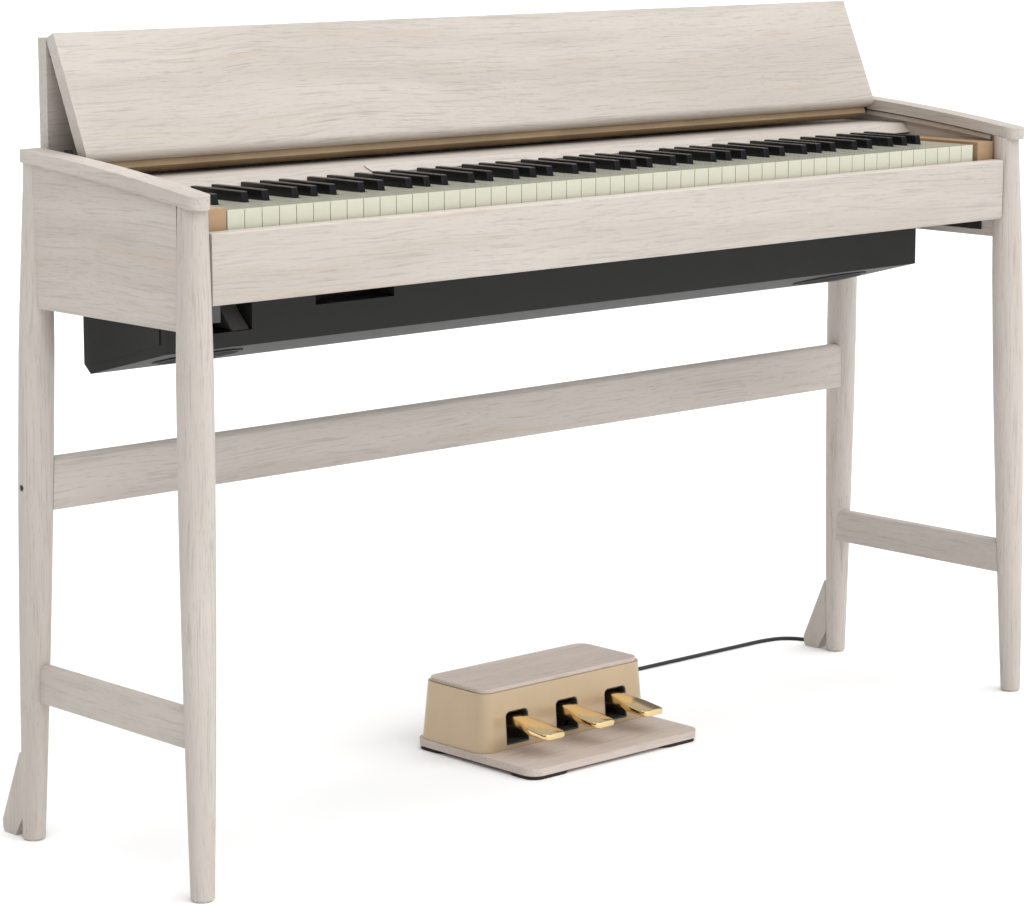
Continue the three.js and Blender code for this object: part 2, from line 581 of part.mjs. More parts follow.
// ---------------------------------------------------------------- lid
const foldY = LID_REAR - LID_THICKNESS - FOLD_AHEAD;
const foldZ = LID_TOP + FOLD_ABOVE;
const knuckleHalf = LID_HALF_WIDTH - KNUCKLE_INSET;
const knuckle = (grow) => cylinderAlong('x', KNUCKLE_RADIUS + grow, -knuckleHalf - grow, knuckleHalf + grow,
  foldY, foldZ, 12);
const lidInnerFace = LID_REAR - LID_THICKNESS;
function hingeLeaf(grow) {
  return box(-knuckleHalf - grow, knuckleHalf + grow, lidInnerFace - 1, lidInnerFace + LEAF_THICKNESS + grow,
    LID_TOP - LEAF_HEIGHT - grow, LID_TOP);
}
const rearPanelBottom = LID_PIVOT_HEIGHT - LID_BELOW_PIVOT;
const rearPanel = box(-LID_HALF_WIDTH, LID_HALF_WIDTH, lidInnerFace, LID_REAR, rearPanelBottom, LID_TOP);
add('lid_rear_panel', cut(rearPanel, knuckle(GAP), hingeLeaf(GAP), lidPivot(-1, GAP), lidPivot(1, GAP)),
  whitewashedWood);
const leaf = box(-knuckleHalf, knuckleHalf, lidInnerFace, lidInnerFace + LEAF_THICKNESS,
  LID_TOP - LEAF_HEIGHT, LID_TOP);
add('fold_hinge', join(knuckle(0), leaf), darkMetal);

// A point of the front panel: along runs from the fold to the free edge, out is towards its
// outer face.
const foldAngle = FRONT_PANEL_ANGLE * Math.PI / 180;
function onFrontPanel(along, out) {
  const y = foldY - Math.sin(foldAngle) * along + Math.cos(foldAngle) * out;
  const z = foldZ + Math.cos(foldAngle) * along + Math.sin(foldAngle) * out;
  return [y, z];
}
const NOSE_STEPS = 5;
const nose = Array.from({ length: NOSE_STEPS + 1 }, (_, i) => {
  const turn = Math.PI / 2 * i / NOSE_STEPS;
  const along = FRONT_PANEL_LENGTH - FRONT_PANEL_NOSE * (1 - Math.sin(turn));
  return onFrontPanel(along, LID_THICKNESS - FRONT_PANEL_NOSE * (1 - Math.cos(turn)));
});
const frontPanelSide = outline([
  onFrontPanel(GAP, 0), onFrontPanel(GAP, LID_THICKNESS), ...nose, onFrontPanel(FRONT_PANEL_LENGTH, 0)]);
const frontPanel = run(frontPanelSide, -LID_HALF_WIDTH, LID_HALF_WIDTH);
add('lid_front_panel', cut(frontPanel, knuckle(GAP)), whitewashedWood);

const lipEnd = FRONT_PANEL_LENGTH + LIP_BEYOND;
const lipSide = outline([
  onFrontPanel(lipEnd - LIP_THICKNESS - LIP_SEAT, -GAP), onFrontPanel(lipEnd, -GAP),
  onFrontPanel(lipEnd, -LIP_DEPTH), onFrontPanel(lipEnd - LIP_THICKNESS, -LIP_DEPTH)]);
const lipHalf = LID_HALF_WIDTH - LIP_END_INSET;
add('lid_lip', run(lipSide, -lipHalf, lipHalf), lipFinish);

// ---------------------------------------------------------------- speaker box
const boxTop = BED_BOTTOM - GAP;
const chamferY = BOX_REAR - BOX_CHAMFER;
const floorSlope = Math.atan2(BOX_REAR_BOTTOM - BOX_FRONT_BOTTOM, chamferY - BOX_FRONT);
const floorAt = (y) => BOX_FRONT_BOTTOM + (y - BOX_FRONT) * Math.tan(floorSlope);
function boxSection(inset, top) {
  const wall = inset / Math.cos(floorSlope);
  return outline([
    [BOX_FRONT + inset, top], [BOX_FRONT + inset, floorAt(BOX_FRONT + inset) + wall],
    [chamferY, floorAt(chamferY) + wall], [BOX_REAR - inset, BOX_REAR_BOTTOM + CHAMFER_RISE + inset],
    [BOX_REAR - inset, top]]);
}

// One speaker: an oval frame whose rim lies on the box's floor, a cone basket and a magnet.
function speakerBody() {
  const r = SPEAKER_HALF_LENGTH;
  const profile = [
    [0, 14], [r - SPEAKER_RIM - 20, 14], [r - SPEAKER_RIM, 0], [r, 0], [r, 3], [r - SPEAKER_RIM, 3],
    [r - 32, 24], [r - 32, SPEAKER_DEPTH], [0, SPEAKER_DEPTH]];
  const geometry = new THREE.LatheGeometry(profile.map(([a, b]) => new THREE.Vector2(a, b)), 24);
  geometry.rotateX(Math.PI / 2).scale(1, SPEAKER_HALF_WIDTH / SPEAKER_HALF_LENGTH, 1);
  return geometry;
}
const placeOnFloor = (geometry, x, above) => {
  geometry.rotateX(floorSlope);
  const seat = BOX_WALL + above;
  return geometry.translate(x, SPEAKER_Y - Math.sin(floorSlope) * seat,
    floorAt(SPEAKER_Y) + Math.cos(floorSlope) * seat);
};
function soundHole(x) {
  const hole = new THREE.CylinderGeometry(1, 1, BOX_WALL * 4, 36).rotateX(Math.PI / 2);
  hole.scale(SPEAKER_HALF_LENGTH - SPEAKER_RIM, SPEAKER_HALF_WIDTH - SPEAKER_RIM, 1);
  return placeOnFloor(hole, x, -BOX_WALL / 2);
}

function pocket(place, grow) {
  return box(place.x0 - grow, place.x1 + grow, BOX_FRONT - 10, BOX_FRONT + POCKET_DEPTH + grow,
    place.z0 - grow, place.z1 + grow);
}
const pockets = [LEFT_POCKET, MIDDLE_POCKET];
const shellInside = cut(
  run(boxSection(BOX_WALL, boxTop + 10), -BOX_HALF_LENGTH + BOX_WALL, BOX_HALF_LENGTH - BOX_WALL),
  ...pockets.map((place) => pocket(place, BOX_WALL)));
const shellOutside = run(boxSection(0, boxTop), -BOX_HALF_LENGTH, BOX_HALF_LENGTH);
add('speaker_box', cut(shellOutside, shellInside, ...pockets.map((place) => pocket(place, 0)),
  ...sides.map(([, side]) => soundHole(side * SPEAKER_X))), boxBlack);
for (const [name, side] of sides) {
  add(`speaker_${name}`, placeOnFloor(speakerBody(), side * SPEAKER_X, GAP), darkMetal);
}

const { x0: boardX0, x1: boardX1, y0: boardY0, y1: boardY1 } = MAIN_BOARD;
const boardTop = boxTop - STANDOFF_HEIGHT;
const standoffs = [boardX0 + 8, boardX1 - 8].flatMap((x) => [boardY0 + 8, boardY1 - 8].map((y) =>
  cylinderAlong('z', STANDOFF_RADIUS, boardTop - 1, boxTop, x, y, 10)));
add('main_board', join(box(boardX0, boardX1, boardY0, boardY1, boardTop - MAIN_BOARD_THICKNESS, boardTop),
  ...standoffs), boardGreen);

// ---------------------------------------------------------------- pedal unit
const baseBottom = PAD_HEIGHT;
const baseTop = baseBottom + BASE_THICKNESS;
const baseX0 = PEDAL_UNIT_X - BASE_LENGTH / 2;
const baseX1 = PEDAL_UNIT_X + BASE_LENGTH / 2;
add('pedal_base', lift(roundedRectangle(baseX0, baseX1, BASE_FRONT, BASE_REAR, BASE_CORNER), baseBottom, baseTop),
  whitewashedWood);
for (const [row, y] of [['front', BASE_FRONT + PAD_INSET], ['rear', BASE_REAR - PAD_INSET - PAD_WIDTH]]) {
  for (const [name, x] of [['left', baseX0 + PAD_INSET], ['right', baseX1 - PAD_INSET - PAD_LENGTH]]) {
    const plan = roundedRectangle(x, x + PAD_LENGTH, y, y + PAD_WIDTH, BASE_CORNER - PAD_INSET);
    add(`pedal_pad_${row}_${name}`, lift(plan, 0, PAD_HEIGHT - GAP), rubber);
  }
}

// A rounded block that narrows evenly towards its top.
const casingBottom = baseTop + GAP;
function casingBlock(inset, z0, z1) {
  const shape = roundedRectangle(-CASING_LENGTH / 2 + inset, CASING_LENGTH / 2 - inset,
    -(CASING_REAR - CASING_FRONT) / 2 + inset, (CASING_REAR - CASING_FRONT) / 2 - inset, CASING_CORNER - inset);
  const geometry = lift(shape, z0, z1);
  const position = geometry.attributes.position;
  for (let i = 0; i < position.count; i += 1) {
    const narrowing = CASING_TAPER * (position.getZ(i) - casingBottom) / (CASING_TOP - casingBottom);
    const x = position.getX(i);
    const y = position.getY(i);
    position.setX(i, x * (1 - narrowing / (CASING_LENGTH / 2)));
    position.setY(i, y * (1 - narrowing / ((CASING_REAR - CASING_FRONT) / 2)));
  }
  return geometry.translate(PEDAL_UNIT_X, (CASING_FRONT + CASING_REAR) / 2, 0);
}
const pedalCentres = [-1, 0, 1].map((step) => PEDAL_UNIT_X + step * PEDAL_PITCH);
const slots = pedalCentres.map((x) => {
  const front = roundedRectangle(x - SLOT_WIDTH / 2, x + SLOT_WIDTH / 2, SLOT_BOTTOM, SLOT_TOP, SLOT_CORNERS);
  const slot = new THREE.ExtrudeGeometry(front, { depth: 30, bevelEnabled: false, curveSegments: 6 });
  return slot.rotateX(Math.PI / 2).translate(0, CASING_FRONT + 20, 0);
});
add('pedal_casing', cut(casingBlock(0, casingBottom, CASING_TOP),
  casingBlock(CASING_WALL, casingBottom - 5, CASING_TOP - CASING_WALL), ...slots), champagne);
const topPlate = casingBlock(TOP_INSET, CASING_TOP + GAP, CASING_TOP + GAP + TOP_THICKNESS);
add('pedal_top', topPlate, whitewashedWood);

const rodNarrowing = CASING_TAPER * (ROD_Z - casingBottom) / (CASING_TOP - casingBottom);
const rodHalf = (CASING_LENGTH / 2 - CASING_WALL) * (1 - rodNarrowing / (CASING_LENGTH / 2)) - 2 * GAP;
add('pedal_rod', cylinderAlong('x', ROD_RADIUS, PEDAL_UNIT_X - rodHalf, PEDAL_UNIT_X + rodHalf, ROD_Y, ROD_Z),
  darkMetal);

// A pedal is its side outline trimmed by its plan: a round eye on the rod, a neck, a wide toe.
function pedal(x) {
  const plan = new THREE.Shape();
  const neck = PEDAL_NECK_WIDTH / 2;
  const tip = PEDAL_TIP_WIDTH / 2;
  const corner = 9;
  plan.moveTo(x - neck, ROD_Y + PEDAL_EYE + 1);
  plan.lineTo(x - neck, CASING_FRONT - 8);
  plan.bezierCurveTo(x - neck, PEDAL_TIP + 46, x - tip, PEDAL_TIP + 48, x - tip, PEDAL_TIP + 30);
  plan.lineTo(x - tip, PEDAL_TIP + corner);
  plan.absarc(x - tip + corner, PEDAL_TIP + corner, corner, Math.PI, Math.PI * 1.5);
  plan.lineTo(x + tip - corner, PEDAL_TIP);
  plan.absarc(x + tip - corner, PEDAL_TIP + corner, corner, -Math.PI / 2, 0);
  plan.lineTo(x + tip, PEDAL_TIP + 30);
  plan.bezierCurveTo(x + tip, PEDAL_TIP + 48, x + neck, PEDAL_TIP + 46, x + neck, CASING_FRONT - 8);
  plan.lineTo(x + neck, ROD_Y + PEDAL_EYE + 1);
  const top = PEDAL_TIP_TOP;
  const under = PEDAL_TIP_TOP - PEDAL_THICKNESS;
  const side = new THREE.Shape();
  side.moveTo(PEDAL_TIP, top - 5);
  side.quadraticCurveTo(PEDAL_TIP + 1, top - 1, PEDAL_TIP + 12, top + 1);
  side.quadraticCurveTo(CASING_FRONT - 26, top + 6, CASING_FRONT + 6, top + 9);
  side.lineTo(ROD_Y - 6, ROD_Z + PEDAL_EYE);
  side.absarc(ROD_Y, ROD_Z, PEDAL_EYE, Math.PI * 0.6, -Math.PI * 0.6, true);
  side.lineTo(CASING_FRONT + 6, under + 9);
  side.quadraticCurveTo(CASING_FRONT - 26, under + 6, PEDAL_TIP + 12, under + 2);
  side.quadraticCurveTo(PEDAL_TIP + 1, under, PEDAL_TIP, top - 5);
  const body = overlapOf(run(side, x - tip - 1, x + tip + 1), lift(plan, 0, CASING_TOP));
  return cut(body, cylinderAlong('x', ROD_RADIUS + GAP, x - tip, x + tip, ROD_Y, ROD_Z));
}
['left', 'middle', 'right'].forEach((name, i) => add(`pedal_${name}`, pedal(pedalCentres[i]), polishedGold));

// ---------------------------------------------------------------- cord and plug
add('pedal_plug', cylinderAlong('y', PLUG_RADIUS, BOX_REAR + GAP, BOX_REAR + GAP + PLUG_LENGTH, PLUG_X, PLUG_Z, 12),
  rubber);
const exitZ = 32;
const exitNarrowing = CASING_TAPER * (exitZ - casingBottom) / (CASING_TOP - casingBottom);
const cordStart = CASING_REAR - exitNarrowing + GAP;
const plugEnd = BOX_REAR + PLUG_LENGTH + 2 * GAP;
const cordRoute = [
  [42.5, cordStart, exitZ], [42.5, 300, 31], [44, 316, 22], [50, 334, 9], [62, 352, 3.4], [84, 370, 2.7],
  [120, 381, 2.7], [200, 385, 2.7], [330, 385, 2.7], [460, 385, 2.7], [580, 385, 2.7], [640, 384, 2.7],
  [668, 377, 2.7], [682, 364, 2.7], [690, 348, 2.7], [692.4, 332, 4.4], [692.4, 319, 13], [692.4, 306, 34],
  [692.4, 300, 62], [692, 297, 110], [690.6, 295.5, 170], [689.2, 294.5, 300], [687.8, 293, 410], [685, 291, 520],
  [679, 295, 562], [664, 299, 585], [644, 300, 594], [618, 298, 596], [592, 298, 594], [571, 295, 591],
  [561.5, 287, PLUG_Z], [560, 280, PLUG_Z], [560, plugEnd, PLUG_Z],
];
const cordCurve = new THREE.CatmullRomCurve3(cordRoute.map(([x, y, z]) => new THREE.Vector3(x, y, z)),
  false, 'centripetal');
const cordSection = new THREE.Shape().absarc(0, 0, CORD_RADIUS, 0, Math.PI * 2);
add('pedal_cord', new THREE.ExtrudeGeometry(cordSection,
  { steps: CORD_STEPS, curveSegments: CORD_SIDES, extrudePath: cordCurve }), rubber);

// ---------------------------------------------------------------- origin
// The middle of the resting face: from the front legs' feet to the anti-tip feet.
const footFront = FRONT_LEG_FLOOR_Y - legRadiusAt(LEG_EDGE);
design.position.y = -(footFront + ANTI_TIP_REAR) / 2;

export default piano;
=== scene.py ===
# %% [markdown]
# # A digital piano on its stand
# The piano is a wooden cabinet on four round legs, with a folding lid, 88 keys, a black speaker
# box below and a pedal unit on the floor. The exact parts come from a CAD frame. This lesson keeps
# those whose shape is right, rounds their edges, replaces the ones that need a finer surface, adds
# the small fittings and gives everything a finish made from shader nodes.

import math

import bmesh
import bpy
from mathutils import Matrix, Vector


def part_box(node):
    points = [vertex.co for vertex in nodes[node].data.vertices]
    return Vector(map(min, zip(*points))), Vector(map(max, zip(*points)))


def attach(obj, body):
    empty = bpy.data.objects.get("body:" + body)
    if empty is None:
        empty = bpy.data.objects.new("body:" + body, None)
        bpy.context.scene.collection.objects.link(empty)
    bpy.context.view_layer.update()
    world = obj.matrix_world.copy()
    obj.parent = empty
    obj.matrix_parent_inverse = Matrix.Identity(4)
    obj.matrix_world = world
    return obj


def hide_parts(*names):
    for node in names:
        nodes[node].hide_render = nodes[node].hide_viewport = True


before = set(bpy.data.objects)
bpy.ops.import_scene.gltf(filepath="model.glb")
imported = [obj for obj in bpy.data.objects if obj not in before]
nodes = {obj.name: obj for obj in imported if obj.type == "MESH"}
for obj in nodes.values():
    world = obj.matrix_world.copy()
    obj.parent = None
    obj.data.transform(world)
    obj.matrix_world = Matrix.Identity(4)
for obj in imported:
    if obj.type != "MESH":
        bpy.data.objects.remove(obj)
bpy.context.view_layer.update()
scene = bpy.context.scene
print("CAD nodes:", len(nodes))

# %% [markdown]
# ## One way to name a place
# The keyboard is the heart of the design, so places are measured from the white keys' front faces,
# in millimetres: x from the middle, y back from the key fronts and z up from the floor. One helper
# turns such a place into metres in the frame's own axes.

# %% Places in millimetres
MM = 0.001
KEY_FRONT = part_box("white_key_c")[0][1]


def at(x, y, z):
    """A place in millimetres from the keys' front faces, as a point of the frame in metres."""
    return Vector((x * MM, y * MM + KEY_FRONT, z * MM))


print("key fronts lie at y =", round(KEY_FRONT, 4))

# %% [markdown]
# ## The camera
# The camera stands to the left of the keyboard and a little above the lid. A long lens keeps the
# legs almost parallel. Its place and its two angles are all that the view needs.

# %% Camera
CAMERA_PLACE = Vector((-2.762, -2.915, 1.091))
CAMERA_YAW = math.radians(42.74)
CAMERA_PITCH = math.radians(10.01)
LENS_MM = 117.1
SENSOR_MM = 36.0

camera_data = bpy.data.cameras.new("camera")
camera_data.lens = LENS_MM
camera_data.sensor_width = SENSOR_MM
camera_data.sensor_fit = "HORIZONTAL"
camera_data.clip_end = 100
camera = bpy.data.objects.new("camera", camera_data)
camera.location = CAMERA_PLACE
ahead = Vector((math.sin(CAMERA_YAW) * math.cos(CAMERA_PITCH),
                math.cos(CAMERA_YAW) * math.cos(CAMERA_PITCH),
                -math.sin(CAMERA_PITCH)))
camera.rotation_euler = ahead.to_track_quat("-Z", "Y").to_euler()
scene.collection.objects.link(camera)
scene.camera = camera
print("camera looks along", [round(v, 3) for v in ahead])

# %% [markdown]
# ## Making a mesh piece
# Most pieces below are lofts: a row of rings with the same number of points, joined by quads and
# closed at both ends. A helper makes the object, rides it on its body, names its finish slot and
# rounds its edges with a bevel, because real edges always catch a line of light.

# %% Mesh helpers
SMOOTH_ANGLE = math.radians(32)


def loft(rings):
    """Vertices and faces of a closed skin through rings of equal length."""
    count = len(rings[0])
    verts = [Vector(p) for ring in rings for p in ring]
    faces = []
    for r in range(len(rings) - 1):
        for i in range(count):
            j = (i + 1) % count
            faces.append((r * count + i, r * count + j, (r + 1) * count + j, (r + 1) * count + i))
    faces.append(tuple(reversed(range(count))))
    last = (len(rings) - 1) * count
    faces.append(tuple(last + i for i in range(count)))
    return verts, faces


def block(low, high):
    """Vertices and faces of a box between two corners."""
    (x0, y0, z0), (x1, y1, z1) = low, high
    return loft([[(x0, y0, z), (x1, y0, z), (x1, y1, z), (x0, y1, z)] for z in (z0, z1)])


def closed_loops(loops):
    """Vertices and faces of a skin that ends on its first loop again, as round a hole."""
    count = len(loops[0])
    faces = []
    for r in range(len(loops)):
        t = (r + 1) % len(loops)
        for i in range(count):
            j = (i + 1) % count
            faces.append((r * count + i, r * count + j, t * count + j, t * count + i))
    return [p for loop in loops for p in loop], faces


def profile_run(points, x0, x1):
    """A side outline of (y, z) in millimetres, run along X between two x in millimetres."""
    return loft([[at(x, y, z) for y, z in points] for x in (x0, x1)])


def merged(*parts):
    """Several (verts, faces) pairs as one."""
    verts, faces = [], []
    for part_verts, part_faces in parts:
        base = len(verts)
        verts += list(part_verts)
        faces += [tuple(base + i for i in face) for face in part_faces]
    return verts, faces


def round_edges(obj, width_mm, segments=3):
    """Bevels an object's sharp edges and shades it smooth."""
    for polygon in obj.data.polygons:
        polygon.use_smooth = True
    obj.data.set_sharp_from_angle(angle=SMOOTH_ANGLE)
    if width_mm:
        bevel = obj.modifiers.new("rounded edges", "BEVEL")
        bevel.width = width_mm * MM
        bevel.segments = segments
        bevel.limit_method = "ANGLE"
        bevel.angle_limit = SMOOTH_ANGLE
        bevel.harden_normals = True
        bevel.use_clamp_overlap = True


def piece(name, skin, material, body="root", edge=0.6, segments=3, replaces=()):
    """A new mesh piece that rides on a body."""
    verts, faces = skin
    data = bpy.data.meshes.new(name)
    data.from_pydata([tuple(v) for v in verts], [], faces)
    shape = bmesh.new()
    shape.from_mesh(data)
    bmesh.ops.recalc_face_normals(shape, faces=shape.faces)
    shape.to_mesh(data)
    shape.free()
    data.materials.append(material)
    obj = bpy.data.objects.new(name, data)
    scene.collection.objects.link(obj)
    round_edges(obj, edge, segments)
    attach(obj, body)
    if replaces:
        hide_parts(*replaces)
    return obj


def disc_ring(centre, radius, axis, sides=24):
    """A ring of points round a centre, across an axis named x, y or z."""
    ring = []
    for i in range(sides):
        a = math.tau * i / sides
        u, v = radius * math.cos(a), radius * math.sin(a)
        offset = {"x": (0, u, v), "y": (u, 0, v), "z": (u, v, 0)}[axis]
        ring.append(Vector(centre) + Vector(offset))
    return ring


def turned(profile, start, axis, sides=24):
    """A turned piece: profile lists (distance along the axis, radius) in metres."""
    step = {"x": Vector((1, 0, 0)), "y": Vector((0, 1, 0)), "z": Vector((0, 0, 1))}[axis]
    return loft([disc_ring(Vector(start) + step * d, r, axis, sides) for d, r in profile])


def oval_ring(centre, half_a, half_b, tilt, sides=40):
    """An oval in the plane that is turned about X by tilt."""
    turn = Matrix.Rotation(tilt, 3, "X")
    points = []
    for i in range(sides):
        a = math.tau * i / sides
        flat = Vector((half_a * math.cos(a), half_b * math.sin(a), 0))
        points.append(Vector(centre) + turn @ flat)
    return points


print("helpers ready")

# %% [markdown]
# ## The shader's building blocks
# Every finish starts from the Principled shader. A few small functions keep the node code short:
# one adds a node, one joins two sockets, and one makes a stretched noise, which is the base of
# wood grain as well as of the fine texture of moulded plastic.

# %% Shader helpers
def new_material(name, roughness, metallic=0.0, specular=0.5, coat=0.0):
    material = bpy.data.materials.new(name)
    material.use_nodes = True
    shader = material.node_tree.nodes["Principled BSDF"]
    shader.inputs["Roughness"].default_value = roughness
    shader.inputs["Metallic"].default_value = metallic
    shader.inputs["Specular IOR Level"].default_value = specular
    shader.inputs["Coat Weight"].default_value = coat
    return material, material.node_tree, shader


def join(tree, out, into):
    tree.links.new(out, into)


def stretched_noise(tree, coordinates, scale, detail=4.0, roughness=0.55, distortion=0.0):
    """Noise whose scale differs along the three axes."""
    mapping = tree.nodes.new("ShaderNodeMapping")
    mapping.inputs["Scale"].default_value = scale
    noise = tree.nodes.new("ShaderNodeTexNoise")
    noise.inputs["Scale"].default_value = 1.0
    noise.inputs["Detail"].default_value = detail
    noise.inputs["Roughness"].default_value = roughness
    noise.inputs["Distortion"].default_value = distortion
    join(tree, coordinates, mapping.inputs["Vector"])
    join(tree, mapping.outputs["Vector"], noise.inputs["Vector"])
    return noise.outputs["Fac"]


def between(tree, value, low, high, top=1.0):
    """Maps a value so that low gives 0 and high gives top."""
    node = tree.nodes.new("ShaderNodeMapRange")
    node.interpolation_type = "SMOOTHSTEP"
    node.inputs["From Min"].default_value = low
    node.inputs["From Max"].default_value = high
    node.inputs["To Max"].default_value = top
    join(tree, value, node.inputs["Value"])
    return node.outputs["Result"]


def mix_colour(tree, factor, first, second, mode="MIX"):
    """Mixes two colours, each a tuple or a socket."""
    node = tree.nodes.new("ShaderNodeMix")
    node.data_type = "RGBA"
    node.blend_type = mode
    colours = [s for s in node.inputs if s.type == "RGBA"]
    for socket, value in zip(colours, (first, second)):
        if isinstance(value, tuple):
            socket.default_value = (*value, 1)
        else:
            join(tree, value, socket)
    join(tree, factor, node.inputs[0])
    return next(s for s in node.outputs if s.type == "RGBA")


def add_bump(tree, shader, height, strength, distance):
    bump = tree.nodes.new("ShaderNodeBump")
    bump.inputs["Strength"].default_value = strength
    bump.inputs["Distance"].default_value = distance
    join(tree, height, bump.inputs["Height"])
    join(tree, bump.outputs["Normal"], shader.inputs["Normal"])


def object_coordinates(tree):
    return tree.nodes.new("ShaderNodeTexCoord").outputs["Object"]


print("shader helpers ready")

# %% [markdown]
# ## Whitewashed ash
# The cabinet is light open-grained wood under a thin white wash. Up close it has four things: slow
# changes of tone, long warm streaks, finer grey grain lines, and short dark pores that the finish
# doesn't fill. Each is noise stretched along the grain. A slow noise first bends the coordinates,
# so that the lines wander as real grain does. The grain runs along each board, so there is one
# material for each direction.

# %% Wood
WASH_LIGHT = (0.555, 0.507, 0.462)
WASH_DEEP = (0.49, 0.443, 0.4)
WARM_STREAK = (0.51, 0.41, 0.315)
GREY_GRAIN = (0.355, 0.33, 0.302)
PORE = (0.27, 0.245, 0.22)


def grain_scale(direction, along, across):
    return tuple(along if axis == direction else across for axis in "xyz")


def washed_wood(name, direction, light=WASH_LIGHT, deep=WASH_DEEP):
    material, tree, shader = new_material(name, roughness=0.5, specular=0.35)
    straight = object_coordinates(tree)
    sway = tree.nodes.new("ShaderNodeTexNoise")
    sway.inputs["Scale"].default_value = 3.0
    sway.inputs["Detail"].default_value = 2.0
    join(tree, straight, sway.inputs["Vector"])
    amount = tree.nodes.new("ShaderNodeVectorMath")
    amount.operation = "MULTIPLY_ADD"
    amount.inputs[1].default_value = grain_scale(direction, 0.0, 0.03)
    join(tree, sway.outputs["Color"], amount.inputs[0])
    join(tree, straight, amount.inputs[2])
    bent = amount.outputs["Vector"]

    tone = stretched_noise(tree, bent, grain_scale(direction, 1.4, 18.0), detail=5.0)
    streak = stretched_noise(tree, bent, grain_scale(direction, 3.2, 110.0), detail=3.0)
    lines = stretched_noise(tree, bent, grain_scale(direction, 9.0, 380.0), detail=4.0,
                            roughness=0.6)
    pores = stretched_noise(tree, bent, grain_scale(direction, 42.0, 1100.0), detail=2.0)

    colour = mix_colour(tree, between(tree, tone, 0.36, 0.66), light, deep)
    colour = mix_colour(tree, between(tree, streak, 0.55, 0.74, 0.5), colour, WARM_STREAK)
    colour = mix_colour(tree, between(tree, lines, 0.50, 0.72, 0.62), colour, GREY_GRAIN)
    colour = mix_colour(tree, between(tree, pores, 0.58, 0.74, 0.5), colour, PORE)
    join(tree, colour, shader.inputs["Base Color"])

    height = tree.nodes.new("ShaderNodeMath")
    height.operation = "ADD"
    join(tree, between(tree, lines, 0.72, 0.48), height.inputs[0])
    join(tree, between(tree, pores, 0.72, 0.56, 0.7), height.inputs[1])
    add_bump(tree, shader, height.outputs["Value"], 0.25, 0.0004)
    return material


wood_x = washed_wood("washed_ash_along_x", "x")
wood_y = washed_wood("washed_ash_along_y", "y")
wood_z = washed_wood("washed_ash_along_z", "z")
BASE_LIGHT = (0.62, 0.53, 0.475)
BASE_DEEP = (0.55, 0.465, 0.41)
wood_pedal = washed_wood("washed_ash_pedal", "x", BASE_LIGHT, BASE_DEEP)
# painted light: a paler copy of the washed ash for the touch strip, brighter than the shaded control
# board
PANEL_PALE_PAINTED_LIGHT = (0.58, 0.535, 0.49)
PANEL_DEEP_PAINTED_LIGHT = (0.54, 0.49, 0.445)
wood_panel_painted_light = washed_wood("washed_ash_panel_painted_light", "x", PANEL_PALE_PAINTED_LIGHT, PANEL_DEEP_PAINTED_LIGHT)
print("wood finishes:", [m.name for m in (wood_x, wood_y, wood_z, wood_pedal)])

# %% [markdown]
# ## Moulded, lacquered and polished finishes
# Plastics get a faint mottle in their colour and a fine bump, so that highlights break up as on a
# moulded surface. Metals get tiny differences of roughness. All of them share one function, because
# only the colours, the gloss and the grain's size differ.

# %% Plastics and metals
def fine_finish(name, colour, roughness, mottle=0.12, grain=900.0, bump=0.08, metallic=0.0,
                specular=0.5, coat=0.0, stretch=(1.0, 1.0, 1.0)):
    material, tree, shader = new_material(name, roughness, metallic, specular, coat)
    coordinates = object_coordinates(tree)
    slow = stretched_noise(tree, coordinates, (22.0, 22.0, 22.0), detail=3.0)
    fine = stretched_noise(tree, coordinates, tuple(grain * s for s in stretch), detail=2.0)
    darker = tuple(c * (1 - mottle) for c in colour)
    tinted = mix_colour(tree, between(tree, slow, 0.3, 0.7), colour, darker)
    speckled = mix_colour(tree, between(tree, fine, 0.35, 0.75, 0.5), tinted, darker)
    join(tree, speckled, shader.inputs["Base Color"])
    rough = between(tree, fine, 0.2, 0.8, roughness * 1.15)
    rough.node.inputs["To Min"].default_value = roughness * 0.85
    join(tree, rough, shader.inputs["Roughness"])
    add_bump(tree, shader, fine, bump, 0.0002)
    return material


ivory = fine_finish("ivory_key", (0.60, 0.595, 0.475), 0.16, mottle=0.04, grain=500.0, bump=0.02,
                    coat=0.3)
ebony = fine_finish("ebony_key", (0.008, 0.0085, 0.01), 0.25, mottle=0.2, grain=1400.0,
                    bump=0.04, specular=0.4)
tan = fine_finish("tan_block", (0.43, 0.285, 0.165), 0.42, mottle=0.12, grain=300.0, bump=0.05,
                  stretch=(0.1, 1.0, 1.0))
# painted shade: the lip's finish is a darker copy of the tan, standing in for the shade under the
# lid's lower edge
lip_tan_painted_shade = fine_finish("lip_tan_painted_shade", (0.34, 0.235, 0.125), 0.5, mottle=0.2, grain=260.0, bump=0.06,
                      stretch=(0.04, 1.0, 1.0))
box_black = fine_finish("box_black", (0.017, 0.017, 0.016), 0.55, mottle=0.1, grain=1300.0,
                        bump=0.12, specular=0.3)
recess_grey = fine_finish("recess_grey", (0.10, 0.10, 0.10), 0.45, mottle=0.1, grain=1300.0)
deep_black = fine_finish("deep_black", (0.008, 0.008, 0.008), 0.6, mottle=0.2, grain=1300.0)
dark_metal = fine_finish("dark_metal", (0.09, 0.09, 0.095), 0.35, grain=700.0, metallic=0.9)
bright_metal = fine_finish("bright_metal", (0.62, 0.62, 0.62), 0.25, grain=700.0, metallic=1.0)
board_green = fine_finish("board_green", (0.03, 0.12, 0.05), 0.5, grain=600.0)
gold = fine_finish("polished_gold", (0.84, 0.64, 0.34), 0.13, mottle=0.05, grain=60.0,
                   bump=0.01, metallic=1.0)
